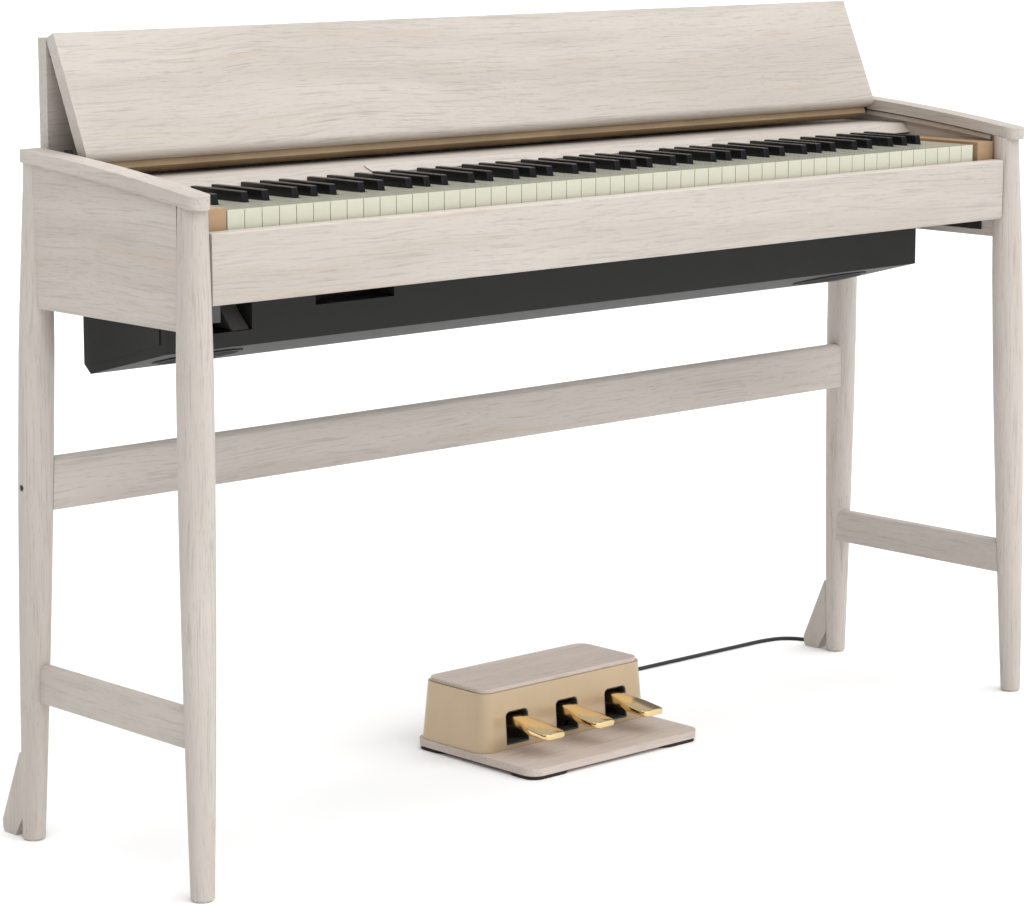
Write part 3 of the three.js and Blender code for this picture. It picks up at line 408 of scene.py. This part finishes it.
champagne = fine_finish("champagne_paint", (0.56, 0.43, 0.28), 0.36, mottle=0.05, grain=1600.0,
                        bump=0.05, metallic=0.35, coat=0.15)
slot_grey = fine_finish("slot_liner", (0.05, 0.052, 0.055), 0.5, grain=1200.0)
rubber = fine_finish("black_rubber", (0.014, 0.014, 0.014), 0.7, mottle=0.2, grain=1500.0, bump=0.15)
cable_black = fine_finish("cable_jacket", (0.018, 0.018, 0.018), 0.5, grain=1500.0, bump=0.05)
print("finishes:", len(bpy.data.materials))

# %% [markdown]
# ## The pedal cable
# The cable leaves the back of the pedal unit, drops to the floor, runs behind the piano, turns
# up behind the right rear leg and ends in a plug in the back of the speaker box. It is limp, so it
# lies flat on the floor and curves slowly. The route is a short list of chosen points. A
# centripetal spline through them gives a smooth line without overshoot, and a round section runs
# along it.

# %% Cable
CABLE_DIAMETER = 0.005
SPLINE_STEPS = 12
plug_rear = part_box("pedal_plug")[1][1]
EXIT_Y = 286.0
PLUG_GAP = 0.3
plug_y = (plug_rear - KEY_FRONT) / MM + PLUG_GAP

route = [
    (42.5, EXIT_Y, 32), (42.5, 300, 31), (44, 316, 22), (50, 334, 9), (62, 352, 3.4), (84, 370, 2.7),
    (120, 381, 2.7), (200, 385, 2.7), (330, 385, 2.7), (460, 385, 2.7), (580, 385, 2.7),
    (640, 384, 2.7),
    (668, 377, 2.7), (682, 364, 2.7), (690, 348, 2.7), (692.4, 332, 4.4), (692.4, 319, 13),
    (692.4, 306, 34), (692.4, 300, 62), (692, 297, 110), (690.6, 295.5, 170), (689.2, 294.5, 300),
    (687.8, 293, 410), (685, 291, 520), (679, 295, 562), (664, 299, 585), (644, 300, 594),
    (618, 298, 596), (592, 298, 594), (571, 295, 591), (561.5, 287, 590), (560, 280, 590),
    (560, plug_y, 590)]


def centripetal(points, steps):
    """A centripetal Catmull-Rom line through the points, with steps points for each stretch."""
    first = points[0] * 2 - points[1]
    last = points[-1] * 2 - points[-2]
    full = [first, *points, last]
    line = []
    for i in range(1, len(full) - 2):
        p0, p1, p2, p3 = full[i - 1:i + 3]
        t0 = 0.0
        t1 = t0 + math.sqrt((p1 - p0).length)
        t2 = t1 + math.sqrt((p2 - p1).length)
        t3 = t2 + math.sqrt((p3 - p2).length)
        for step in range(steps):
            t = t1 + (t2 - t1) * step / steps
            a1 = p0 * ((t1 - t) / (t1 - t0)) + p1 * ((t - t0) / (t1 - t0))
            a2 = p1 * ((t2 - t) / (t2 - t1)) + p2 * ((t - t1) / (t2 - t1))
            a3 = p2 * ((t3 - t) / (t3 - t2)) + p3 * ((t - t2) / (t3 - t2))
            b1 = a1 * ((t2 - t) / (t2 - t0)) + a2 * ((t - t0) / (t2 - t0))
            b2 = a2 * ((t3 - t) / (t3 - t1)) + a3 * ((t - t1) / (t3 - t1))
            line.append(b1 * ((t2 - t) / (t2 - t1)) + b2 * ((t - t1) / (t2 - t1)))
    line.append(points[-1])
    return line


cable_line = centripetal([at(*p) for p in route], SPLINE_STEPS)
measured = sum((b - a).length for a, b in zip(cable_line, cable_line[1:]))
print("cable length", round(measured, 4), "lowest", round(min(p.z for p in cable_line), 4))

cable_data = bpy.data.curves.new("cable", "CURVE")
cable_data.dimensions = "3D"
cable_data.bevel_depth = CABLE_DIAMETER / 2
cable_data.bevel_resolution = 4
cable_data.use_fill_caps = True
spline = cable_data.splines.new("POLY")
spline.points.add(len(cable_line) - 1)
for point, place in zip(spline.points, cable_line):
    point.co = (*place, 1)
cable_data.materials.append(cable_black)
cable = bpy.data.objects.new("cable", cable_data)
scene.collection.objects.link(cable)
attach(cable, "root")
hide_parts("pedal_cord")

# %% [markdown]
# A cable never leaves a housing through a bare hole. A tapered rubber sleeve takes the bend where
# it leaves the pedal unit. It follows the cable's own line, so the cable never pokes out of it. The
# plug at the other end is the CAD piece with a ribbed grip over it.

# %% Cable sleeve and plug grip
SLEEVE_POINTS = 20
SLEEVE_WIDE, SLEEVE_NARROW = 0.0048, 0.0029
SLEEVE_SIDES = 20


def sleeve_skin():
    """Rings square to the first stretch of the cable, narrowing away from the housing."""
    line = cable_line[:SLEEVE_POINTS]
    rings = []
    for i, centre in enumerate(line):
        along = (line[min(i + 1, len(line) - 1)] - line[max(i - 1, 0)]).normalized()
        up = along.cross(Vector((1, 0, 0))).normalized()
        share = i / (len(line) - 1)
        radius = SLEEVE_WIDE + (SLEEVE_NARROW - SLEEVE_WIDE) * share
        turns = [math.tau * k / SLEEVE_SIDES for k in range(SLEEVE_SIDES)]
        rings.append([centre + Vector((1, 0, 0)) * radius * math.cos(a) + up * radius * math.sin(a)
                      for a in turns])
    return loft(rings)


sleeve = piece("cable_sleeve", sleeve_skin(), rubber, edge=0.3)

plug_low, plug_high = [Vector(corner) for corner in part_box("pedal_plug")]
plug_middle = (plug_low + plug_high) / 2
GRIP_RIBS = 5
GRIP_START, GRIP_PITCH = 0.004, 0.003
GRIP_LOW, GRIP_HIGH = 0.0052, 0.0058
grip_profile = []
for rib in range(GRIP_RIBS):
    start = GRIP_START + rib * GRIP_PITCH
    grip_profile += [(start, GRIP_LOW), (start + 0.0005, GRIP_HIGH),
                     (start + 0.0018, GRIP_HIGH), (start + 0.0023, GRIP_LOW)]
grip = piece("plug_grip", turned(grip_profile, (plug_middle.x, plug_low.y, plug_middle.z), "y"),
             rubber, edge=0)

# %% [markdown]
# ## Floor and light
# The floor is plain and pale, and the air gives a weak even light. One wide distant light, high in
# front, makes the tilted lid brightest, then the rail, and leaves the sides calm. It reaches the
# whole floor alike, so the floor stays white to its far edge and lights the undersides. A weak
# light from behind does the same for the back.

# %% Floor and lights
FLOOR_SIZE = 120.0
AIR_STRENGTH = 0.2
floor_material, floor_tree, floor_shader = new_material("floor", 0.9, specular=0.1)
floor_shader.inputs["Base Color"].default_value = (0.97, 0.97, 0.97, 1)
floor_data = bpy.data.meshes.new("floor")
h = FLOOR_SIZE / 2
floor_data.from_pydata([(-h, -h, 0), (h, -h, 0), (h, h, 0), (-h, h, 0)], [], [(0, 1, 2, 3)])
floor_data.materials.append(floor_material)
floor = bpy.data.objects.new("floor", floor_data)
scene.collection.objects.link(floor)

world = bpy.data.worlds.new("air")
world.use_nodes = True
world.node_tree.nodes["Background"].inputs["Color"].default_value = (1, 1, 1, 1)
world.node_tree.nodes["Background"].inputs["Strength"].default_value = AIR_STRENGTH
scene.world = world


def far_light(name, toward, irradiance, spread):
    """A wide distant light that shines along toward on everything alike."""
    data = bpy.data.lights.new(name, "SUN")
    data.energy = irradiance
    data.angle = math.radians(spread)
    lamp = bpy.data.objects.new(name, data)
    lamp.rotation_euler = Vector(toward).to_track_quat("-Z", "Y").to_euler()
    scene.collection.objects.link(lamp)


KEY_TOWARD = (-0.08, 0.40, -0.90)
BACK_TOWARD = (-0.05, -0.75, -0.65)
KEY_IRRADIANCE, KEY_SPREAD = 3.9, 100
BACK_IRRADIANCE, BACK_SPREAD = 0.5, 80
far_light("key_light", KEY_TOWARD, KEY_IRRADIANCE, KEY_SPREAD)
far_light("back_light", BACK_TOWARD, BACK_IRRADIANCE, BACK_SPREAD)
scene.view_settings.view_transform = "Standard"
scene.view_settings.look = "None"

# %% [markdown]
# ## Finishes for the CAD parts
# Boards, legs, panels, keys and castings already have their true shape. They keep it, and get a
# rounded edge and the right finish. The table says which finish and how much rounding each
# takes: wooden edges 0.8 to 2.6 millimetres, key edges half a millimetre. The legs' rounded ends are
# already in the CAD, so they take none.

# %% Dress the CAD nodes
def dress(names, material, edge, segments=3):
    for name in names:
        data = nodes[name].data
        data.materials.clear()
        data.materials.append(material)
        round_edges(nodes[name], edge, segments)


def both(stem):
    return [f"{stem}_left", f"{stem}_right"]


dress(both("leg_front") + both("leg_rear"), wood_z, 0)
dress(both("anti_tip_foot"), wood_z, 1.5)
dress(both("side_panel") + both("side_stretcher"), wood_y, 0.8)
dress(both("arm"), wood_y, 2.6, 4)
dress(["front_rail", "rear_stretcher", "control_board"], wood_x, 0.8)
dress(["back_board", "key_bed", "lid_rear_panel"], wood_x, 1.0)
dress(["lid_front_panel"], wood_x, 1.6, 4)
dress(["pedal_base"], wood_pedal, 1.2)
dress(["pedal_top"], wood_pedal, 0.8)
dress(both("cheek_block"), tan, 1.0)
dress(["lid_lip"], lip_tan_painted_shade, 0.8)
dress([n for n in nodes if n.startswith("white_key")], ivory, 0.5)
dress(["speaker_box"], box_black, 0.8)
dress(both("speaker"), deep_black, 0)
dress(["main_board"], board_green, 0)
dress(["key_frame", "fold_hinge", "pedal_rod"] + both("lid_pivot"), dark_metal, 0)
dress(["pedal_casing"], champagne, 0.8)
dress([n for n in nodes if n.startswith("pedal_pad")], rubber, 0.5)
dress(["pedal_plug"], cable_black, 0.4)
print("dressed nodes")

# %% [markdown]
# ## Black keys
# A black key is a long body with a sloped front, sides that lean in towards the top and a soft
# edge all round. The CAD keys are straight-sided, so each is replaced by a tapered one. Keys
# that move together are one piece, as their CAD body is.

# %% Black keys
WHITE_KEYS = 52
OCTAVE_WHITES = 7
FIRST_STEP = 5
SLOT_MM = 1.0
whites_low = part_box("white_keys_bass")[0][0] / MM - SLOT_MM / 2
whites_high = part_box("white_keys_treble")[1][0] / MM + SLOT_MM / 2
PITCH_MM = (whites_high - whites_low) / WHITE_KEYS
BLACK_OFFSETS = {0: -2.6, 1: 2.6, 3: -3.4, 4: 0.0, 5: 3.4}
black_low, black_high = [Vector(c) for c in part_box("black_key_c_sharp")]
black_base = black_low.z / MM
black_top = black_high.z / MM
black_rear = (black_high.y - KEY_FRONT) / MM
white_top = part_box("white_key_c")[1][2] / MM
BLACK_FRONT = 50.0
BLACK_SHOWN_END = 146.5
BLACK_SLOPE = 7.0
BASE_HALF = 5.2
TOP_HALF = 4.5
SHOULDER_DROP = 2
WEB_DEPTH = 8.5
WEB_LOW, WEB_HIGH = 0.8, 4.6
hidden_top = white_top + WEB_HIGH


def octave_step(i):
    """How far white key i lies above the C below it, counted in white keys."""
    return (i + FIRST_STEP) % OCTAVE_WHITES


def black_skin(i):
    """The skin of the black key after white key i."""
    centre = whites_low + (i + 1) * PITCH_MM + BLACK_OFFSETS[octave_step(i)]
    slope = BLACK_SLOPE / (black_top - black_base)
    shoulder = white_top - SHOULDER_DROP
    outline = [
        (BLACK_FRONT, black_base), (black_rear, black_base), (black_rear, hidden_top),
        (BLACK_SHOWN_END, hidden_top), (BLACK_SHOWN_END, black_top),
        (BLACK_FRONT + BLACK_SLOPE, black_top),
        (BLACK_FRONT + slope * (shoulder - black_base), shoulder)]

    def half(z):
        share = max(0.0, (z - shoulder) / (black_top - shoulder))
        return BASE_HALF + (TOP_HALF - BASE_HALF) * share
    return loft([[at(centre + side * half(z), y, z) for y, z in outline] for side in (-1, 1)])


def rear_web(indices):
    """The bar that ties a group of black keys together, out of sight behind the control board."""
    first, last = (whites_low + (i + 1) * PITCH_MM + BLACK_OFFSETS[octave_step(i)]
                   for i in (indices[0], indices[-1]))
    return block(at(first, black_rear - WEB_DEPTH, white_top + WEB_LOW),
                 at(last, black_rear, white_top + WEB_HIGH))


FIRST_MIDDLE = 23
blacks = [i for i in range(WHITE_KEYS - 1) if octave_step(i) in BLACK_OFFSETS]
bass = [i for i in blacks if i < FIRST_MIDDLE]
treble = [i for i in blacks if i >= FIRST_MIDDLE + OCTAVE_WHITES]
piece("black_keys_low", merged(*map(black_skin, bass), rear_web(bass)), ebony,
      "black_bass", 1.0, 4, ["black_keys_bass"])
piece("black_keys_high", merged(*map(black_skin, treble), rear_web(treble)), ebony,
      "black_treble", 1.0, 4, ["black_keys_treble"])
for i in blacks:
    if FIRST_MIDDLE <= i < FIRST_MIDDLE + OCTAVE_WHITES:
        note = "cdefgab"[i - FIRST_MIDDLE]
        piece(f"ebony_{note}_sharp", black_skin(i), ebony, f"black_{note}_sharp", 1.0, 4,
              [f"black_key_{note}_sharp"])
print("black keys:", len(blacks), "pitch", round(PITCH_MM, 3))

# %% [markdown]
# ## The touch panel
# A thin strip of the same wood lies on the control board's slanted edge, in a paler copy of its
# finish: painted light that sets it off from the shaded board. The panel's ends are rounded in the
# plane of the strip, so it is built from an outline in that plane.

# %% Touch panel
panel_low, panel_high = [Vector(c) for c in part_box("touch_panel")]
PANEL_THICKNESS = 0.001
PANEL_CORNER = 0.0045
PANEL_END_SLANT = 0.012
CORNER_STEPS = 6
FACE_RUN, FACE_RISE = 9.0, 11.8
FACE_LEAN = 0.795
face_across = Vector((0, FACE_RUN, FACE_RISE)).normalized()
face_out = Vector((0, -FACE_RISE, FACE_RUN)).normalized()
panel_width = (panel_high.z - panel_low.z - PANEL_THICKNESS * face_out.z) / face_across.z
panel_foot = Vector((0, panel_low.y + PANEL_THICKNESS * FACE_LEAN, panel_low.z))
panel_half = panel_high.x


def panel_outline():
    """Points (x, distance up the slanted face) with rounded ends."""
    corners = [(-panel_half + PANEL_END_SLANT, 0), (panel_half - PANEL_END_SLANT, 0),
               (panel_half, panel_width), (-panel_half, panel_width)]
    points = []
    for k, (x, w) in enumerate(corners):
        before = Vector(corners[k - 1]) - Vector((x, w))
        after = Vector(corners[(k + 1) % 4]) - Vector((x, w))
        a = Vector((x, w)) + before.normalized() * PANEL_CORNER
        b = Vector((x, w)) + after.normalized() * PANEL_CORNER
        for s in range(CORNER_STEPS + 1):
            t = s / CORNER_STEPS
            points.append(a * (1 - t) ** 2 + Vector((x, w)) * 2 * t * (1 - t) + b * t ** 2)
    return points


panel_rings = [[panel_foot + Vector((p[0], 0, 0)) + face_across * p[1] + face_out * lift
                for p in panel_outline()] for lift in (0, PANEL_THICKNESS)]
# the strip takes the paler wood copy, painted light
piece("touch_strip", loft(panel_rings), wood_panel_painted_light, "root", 0.25, 1, ["touch_panel"])
print("touch strip width mm", round(panel_width / MM, 2))

# %% [markdown]
# ## The band under the arms
# On the inner side of each arm a second, thinner band follows the same curve, with a groove between
# it and the arm cap; a black strip inside the groove is painted shade. The curve is the arc through
# three heights of the arm's top.

# %% Arm bands
ARM_HEIGHTS = [(-34.0, 753.0), (117.0, 771.6), (291.0, 784.5)]
ARM_THICKNESS = 14.0
BAND_HEIGHT = 6.5
GROOVE = 1.6
GROOVE_OVERLAP, GROOVE_GAP = 0.2, 0.3
BAND_INNER, GROOVE_INNER, BAND_OUTER = 655, 657, 659.8


def arc_through(three):
    (y0, z0), (y1, z1), (y2, z2) = three
    d = 2 * (y0 * (z1 - z2) + y1 * (z2 - z0) + y2 * (z0 - z1))
    s0, s1, s2 = y0 ** 2 + z0 ** 2, y1 ** 2 + z1 ** 2, y2 ** 2 + z2 ** 2
    cy = (s0 * (z1 - z2) + s1 * (z2 - z0) + s2 * (z0 - z1)) / d
    cz = (s0 * (y2 - y1) + s1 * (y0 - y2) + s2 * (y1 - y0)) / d
    radius = math.hypot(y0 - cy, z0 - cz)
    return lambda y: cz + math.sqrt(radius ** 2 - (y - cy) ** 2)


arm_top = arc_through(ARM_HEIGHTS)
BAND_STATIONS = 24
BAND_FROM, BAND_TO = 8.0, 240.0
for name, side in (("left", -1), ("right", 1)):
    rings = []
    groove_shade_rings = []
    for s in range(BAND_STATIONS + 1):
        y = BAND_FROM + (BAND_TO - BAND_FROM) * s / BAND_STATIONS
        top = arm_top(y) - ARM_THICKNESS - GROOVE
        rings.append([at(side * x, y, z) for x, z in
                      ((BAND_INNER, top - BAND_HEIGHT), (BAND_OUTER, top - BAND_HEIGHT),
                       (BAND_OUTER, top), (BAND_INNER, top))])
        # painted shade: a black strip inside the groove stands for the shade between the band and
        # the arm cap
        low, high = top - GROOVE_OVERLAP, top + GROOVE - GROOVE_GAP
        groove_shade_rings.append([at(side * x, y, z) for x, z in
                        ((GROOVE_INNER, low), (BAND_OUTER, low),
                         (BAND_OUTER, high), (GROOVE_INNER, high))])
    piece(f"arm_band_{name}", loft(rings), wood_y, edge=1.0)
    piece(f"arm_groove_painted_shade_{name}", loft(groove_shade_rings), deep_black, edge=0)
print("arm bands follow the arc")

# %% [markdown]
# ## Pedals
# A pedal is a polished casting: a narrow neck that widens into a flat toe, thin at the front and
# deeper at the casing, with every edge well rounded. It is a loft of rounded sections along its
# length. The sections shrink over the last few millimetres to close the toe with a soft end.

# %% Pedals
TOE_FRONT = 94.0
TOE_HALF = 18.0
NECK_HALF = 11.5
TOE_ROUND = 9.0
PEDAL_RING = 32
NECK_FROM, NECK_RUN = 122, 32
RISE_RUN = 70
TOE_TOP, TOP_RISE = 46.0, 10.0
TOE_UNDER, UNDER_RISE = 37.5, 4.5
FORE_END = 164


def smooth_step(t):
    t = min(1.0, max(0.0, t))
    return t * t * (3 - 2 * t)


def pedal_section(x, y):
    """A rounded section of the pedal at distance y."""
    half = TOE_HALF + (NECK_HALF - TOE_HALF) * smooth_step((y - NECK_FROM) / NECK_RUN)
    rise = min(1.0, (y - TOE_FRONT) / RISE_RUN)
    top = TOE_TOP + TOP_RISE * rise ** 1.15
    under = TOE_UNDER + UNDER_RISE * rise
    end = min(1.0, (y - TOE_FRONT) / TOE_ROUND)
    nose = math.sqrt(max(0.0, 1 - (1 - end) ** 2))
    half *= 0.74 + 0.26 * nose
    middle = (top + under) / 2 + 0.6 * (1 - nose)
    tall = (top - under) / 2 * (0.72 + 0.28 * nose)
    ring = []
    for k in range(PEDAL_RING):
        a = math.tau * k / PEDAL_RING
        c, s = math.cos(a), math.sin(a)
        power = 0.36 if s > 0 else 0.5
        across = math.copysign(abs(c) ** 0.30, c)
        up = math.copysign(abs(s) ** power, s)
        crown = 0.9 * (1 - across ** 2) if s > 0 else 0
        ring.append(at(x + half * across, y, middle + tall * up + crown - 0.45))
    return ring


ROD_CENTRE_Y, ROD_CENTRE_Z = 262.0, 50.0
EYE_RADIUS, EYE_BORE = 8.0, 4.3
EYE_SIDES = 32


def eye_skin(x):
    """The round eye that turns on the rod."""
    loops = []
    for radius, side in ((EYE_RADIUS, -1), (EYE_RADIUS, 1), (EYE_BORE, 1), (EYE_BORE, -1)):
        centre = at(x + side * NECK_HALF, ROD_CENTRE_Y, ROD_CENTRE_Z)
        loops.append(disc_ring(centre, radius * MM, "x", EYE_SIDES))
    return closed_loops(loops)


pedal_stations = [TOE_FRONT + 0.02] + [TOE_FRONT + TOE_ROUND * (i / 8) ** 1.7 for i in range(1, 9)]
pedal_stations += [TOE_FRONT + TOE_ROUND + (FORE_END - TOE_FRONT - TOE_ROUND) * i / 16
                   for i in range(1, 17)]
pedal_stations += [200.0, 240.0, 255.0]
for name in ("left", "middle", "right"):
    low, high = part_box(f"pedal_{name}")
    centre = (low[0] + high[0]) / 2 / MM
    skin = merged(loft([pedal_section(centre, y) for y in pedal_stations]), eye_skin(centre))
    piece(f"gold_pedal_{name}", skin, gold, f"pedal_{name}", 0, 2, [f"pedal_{name}"])
print("pedal stations:", len(pedal_stations))

# %% [markdown]
# Each pedal comes out through a tall slot. A dark liner with rounded upper corners frames the
# slot from inside, so the painted casing has no raw edge there.

# %% Slot liners
SLOT_HALF = 19.0
SLOT_LOW, SLOT_HIGH = 20.0, 62.0
LINER_WALL = 1.8
LINER_REAR = 180.0
LINER_GAP = 0.3
ARCH_RADIUS = 7.0
WALL_SINK = 0.8
casing_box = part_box("pedal_casing")
casing_front = (casing_box[0][1] - KEY_FRONT) / MM
casing_low, casing_high = casing_box[0][2] / MM, casing_box[1][2] / MM
CASING_LEAN = 5.0 / (casing_high - casing_low)


def liner_front(z):
    """The liner's front edge, a little behind the casing's leaning front wall."""
    return casing_front + CASING_LEAN * (z - casing_low) + WALL_SINK


def slot_arch(x, inset):
    """An arch outline (x, z), open to a flat sill, as a closed loop."""
    half = SLOT_HALF - inset
    radius = ARCH_RADIUS - inset
    top = SLOT_HIGH - inset
    points = [(x - half, SLOT_LOW + inset), (x + half, SLOT_LOW + inset)]
    for cx, start in ((x + half - radius, 0), (x - half + radius, 90)):
        for k in range(7):
            a = math.radians(start + 15 * k)
            points.append((cx + radius * math.cos(a), top - radius + radius * math.sin(a)))
    return points


def liner_skin(x):
    outer = slot_arch(x, LINER_GAP)
    inner = slot_arch(x, LINER_WALL)
    return closed_loops([
        [at(px, liner_front(pz) if front else LINER_REAR, pz) for px, pz in loop]
        for loop, front in ((outer, True), (inner, True), (inner, False), (outer, False))])


for name in ("left", "middle", "right"):
    low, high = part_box(f"pedal_{name}")
    piece(f"slot_liner_{name}", liner_skin((low[0] + high[0]) / 2 / MM), slot_grey,
          edge=0.4)
print("slot liners: 3")

# %% [markdown]
# ## Speaker box details
# The box is a plain moulded shell. Its ends carry a raised plate with a border round it, and its
# sloping floor has an oval grille for each speaker: a rim with a row of thin bars.

# %% Box ends and grilles
END_BORDER = 8.0
BOX_FRONT, BOX_FRONT_LOW = 101, 569
BOX_TURN, BOX_LOWEST = 239, 533
BOX_REAR, BOX_REAR_LOW = 251, 543
PLATE_TOP = 668
PLATE_X = (620.2, 621.4)
end_plate = [
    (BOX_FRONT + END_BORDER, PLATE_TOP), (BOX_FRONT + END_BORDER, BOX_FRONT_LOW + END_BORDER + 2),
    (BOX_TURN - 3, BOX_LOWEST + END_BORDER + 3), (BOX_REAR - END_BORDER, BOX_REAR_LOW + END_BORDER),
    (BOX_REAR - END_BORDER, PLATE_TOP)]
for name, side in (("left", -1), ("right", 1)):
    x0, x1 = sorted(side * x for x in PLATE_X)
    piece(f"box_end_plate_{name}", profile_run(end_plate, x0, x1), box_black, edge=0.5)

FLOOR_TILT = math.atan2(BOX_LOWEST - BOX_FRONT_LOW, BOX_TURN - BOX_FRONT)
GRILLE_X, GRILLE_Y = 525, 168.0
grille_z = BOX_FRONT_LOW + (GRILLE_Y - BOX_FRONT) * math.tan(FLOOR_TILT)
GRILLE_A, GRILLE_B = 0.055, 0.0445
down = Matrix.Rotation(FLOOR_TILT, 3, "X") @ Vector((0, 0, -1))
RIM_WIDTH = 0.005
RIM_SUNK, RIM_PROUD = -0.0002, 0.0014
BAR_COUNT = 13


def oval_frame(centre, a, b, width):
    """A flat oval frame below the box's floor."""
    outer = oval_ring(centre, a, b, FLOOR_TILT)
    inner = oval_ring(centre, a - width, b - width, FLOOR_TILT)
    return closed_loops([
        [p + down * lift for p in ring] for ring, lift in
        ((outer, RIM_SUNK), (outer, RIM_PROUD), (inner, RIM_PROUD), (inner, RIM_SUNK))])


def grille_skin(centre):
    rim = oval_frame(centre, GRILLE_A, GRILLE_B, RIM_WIDTH)
    bars = []
    turn = Matrix.Rotation(FLOOR_TILT, 3, "X")
    for k in range(BAR_COUNT):
        share = (k + 0.5) / BAR_COUNT * 2 - 1
        reach = GRILLE_A * math.sqrt(1 - share ** 2) * 0.94
        y = share * (GRILLE_B - 0.004)
        low, high = (-reach, y - 0.0009, -0.0012), (reach, y + 0.0009, 0.0002)
        verts, faces = block(low, high)
        bars.append(([Vector(centre) + turn @ v for v in verts], faces))
    return merged(rim, *bars)


for name, side in (("left", -1), ("right", 1)):
    centre = at(side * GRILLE_X, GRILLE_Y, grille_z) + down * 0.0004
    piece(f"grille_{name}", grille_skin(centre), deep_black, edge=0.2, segments=1)
print("grilles: 2, bars each:", BAR_COUNT)

# %% [markdown]
# ## Sockets in the recesses
# The middle recess holds the rear row of connectors: metal sockets with dark holes on a black
# plate. The end recess has a sloping guide that leads a plug to its socket.

# %% Connectors and guide
CONNECTOR_Y = 136.0
plate = block(at(-405, CONNECTOR_Y, 612), at(-297, CONNECTOR_Y + 2, 646))
piece("connector_plate", plate, recess_grey, edge=0.4)
SOCKETS = (-392, -372, -352, -330, -312)
for k, x in enumerate(SOCKETS):
    skin = turned([(0, 0.0035), (0.0, 0.0062), (-0.007, 0.0062), (-0.007, 0.0036), (-0.003, 0.0034)],
                  at(x, CONNECTOR_Y - 0.2, 628), "y")
    piece(f"socket_{k + 1}", skin, bright_metal, edge=0.2)

guide = [(103, 586.4), (136, 586.4), (136, 612), (128, 612)]
piece("plug_guide", profile_run(guide, -526, -502), recess_grey, edge=0.8)
piece("recess_side", block(at(-557.6, 104, 597), at(-541, 134, 616)), recess_grey, edge=0.8)
print("sockets:", len(SOCKETS))

# %% [markdown]
# ## Brackets, guides, clips and screws
# Small fittings hold the cabinet together: a black bracket on the inner face of each side panel,
# lid guides at the lid's ends, clips round the cable at the leg, and screws. A screw head is a
# shallow dome with a round hollow in its middle.

# %% Fittings
def screw(name, place, axis, direction, radius=3.2):
    """A domed screw head with a round hollow, pointing along one axis."""
    dome = [(0, radius * MM), (direction * 0.0008, radius * MM),
            (direction * 0.0016, radius * 0.8 * MM), (direction * 0.002, radius * 0.45 * MM),
            (direction * 0.0012, radius * 0.2 * MM)]
    return piece(name, turned(dome, place, axis, 20), dark_metal, edge=0)


BRACKET_WALL, BRACKET_FACE, FLANGE_REACH = 659.6, 656.6, 628
BRACKET_FRONT, BRACKET_REAR = 22, 232
BRACKET_LOW, FLANGE_LOW, BRACKET_TOP = 618, 668.6, 671.4
SCREW_X, SCREW_Z = 656.5, 640
SCREW_PLACES = (40, 90, 150, 210)
for name, side in (("left", -1), ("right", 1)):
    x_wall = side * BRACKET_WALL
    x_plate = side * BRACKET_FACE
    x0, x1 = sorted((x_wall, x_plate))
    upright = block(at(x0, BRACKET_FRONT, BRACKET_LOW), at(x1, BRACKET_REAR, BRACKET_TOP))
    f0, f1 = sorted((side * FLANGE_REACH, x_plate))
    flange = block(at(f0, BRACKET_FRONT, FLANGE_LOW), at(f1, BRACKET_REAR, BRACKET_TOP))
    piece(f"bracket_{name}", merged(upright, flange), deep_black, edge=0.6)
    for k, y in enumerate(SCREW_PLACES):
        screw(f"bracket_screw_{name}_{k + 1}", at(side * SCREW_X, y, SCREW_Z), "x", -side)

    g0, g1 = sorted((side * 646.8, side * 651.5))
    guide_block = profile_run(
        [(218, 762), (231, 762), (236, 770), (236, 784), (226, 784), (218, 772)], g0, g1)
    piece(f"lid_guide_{name}", guide_block, deep_black, edge=0.8)

CLIP_HEIGHTS = (150.0, 330.0, 500.0)
CLIP_SIDES = 16
CLIP_PROFILE = ((-0.004, 0.0031), (-0.004, 0.0042), (0.004, 0.0042), (0.004, 0.0031),
                (0.004, 0.0027), (-0.004, 0.0027))
for k, height in enumerate(CLIP_HEIGHTS):
    centre = min(cable_line, key=lambda p: abs(p.z - height * MM) if p.x > 0.68 else 9)
    rings = [disc_ring(centre + Vector((0, 0, dz)), r, "z", CLIP_SIDES) for dz, r in CLIP_PROFILE]
    piece(f"cable_clip_{k + 1}", closed_loops(rings), rubber, edge=0)

BOLT_HEIGHT = 408.0
BOLT_AXIS_Y = 275.4
BOLT_SEAT = 688.0
for name, side in (("left", -1), ("right", 1)):
    head = [(0, 3.6), (2.2, 3.6), (2.8, 3.0), (2.8, 1.6), (0.8, 1.4)]
    skin = turned([(side * d * MM, r * MM) for d, r in head],
                  at(side * BOLT_SEAT, BOLT_AXIS_Y, BOLT_HEIGHT), "x")
    piece(f"stretcher_bolt_{name}", skin, dark_metal, edge=0.2)
print("fittings ready")

# %% [markdown]
# ## Finish
# The finished piano must stay inside the CAD model's size.

# %% Finish
print("finished")
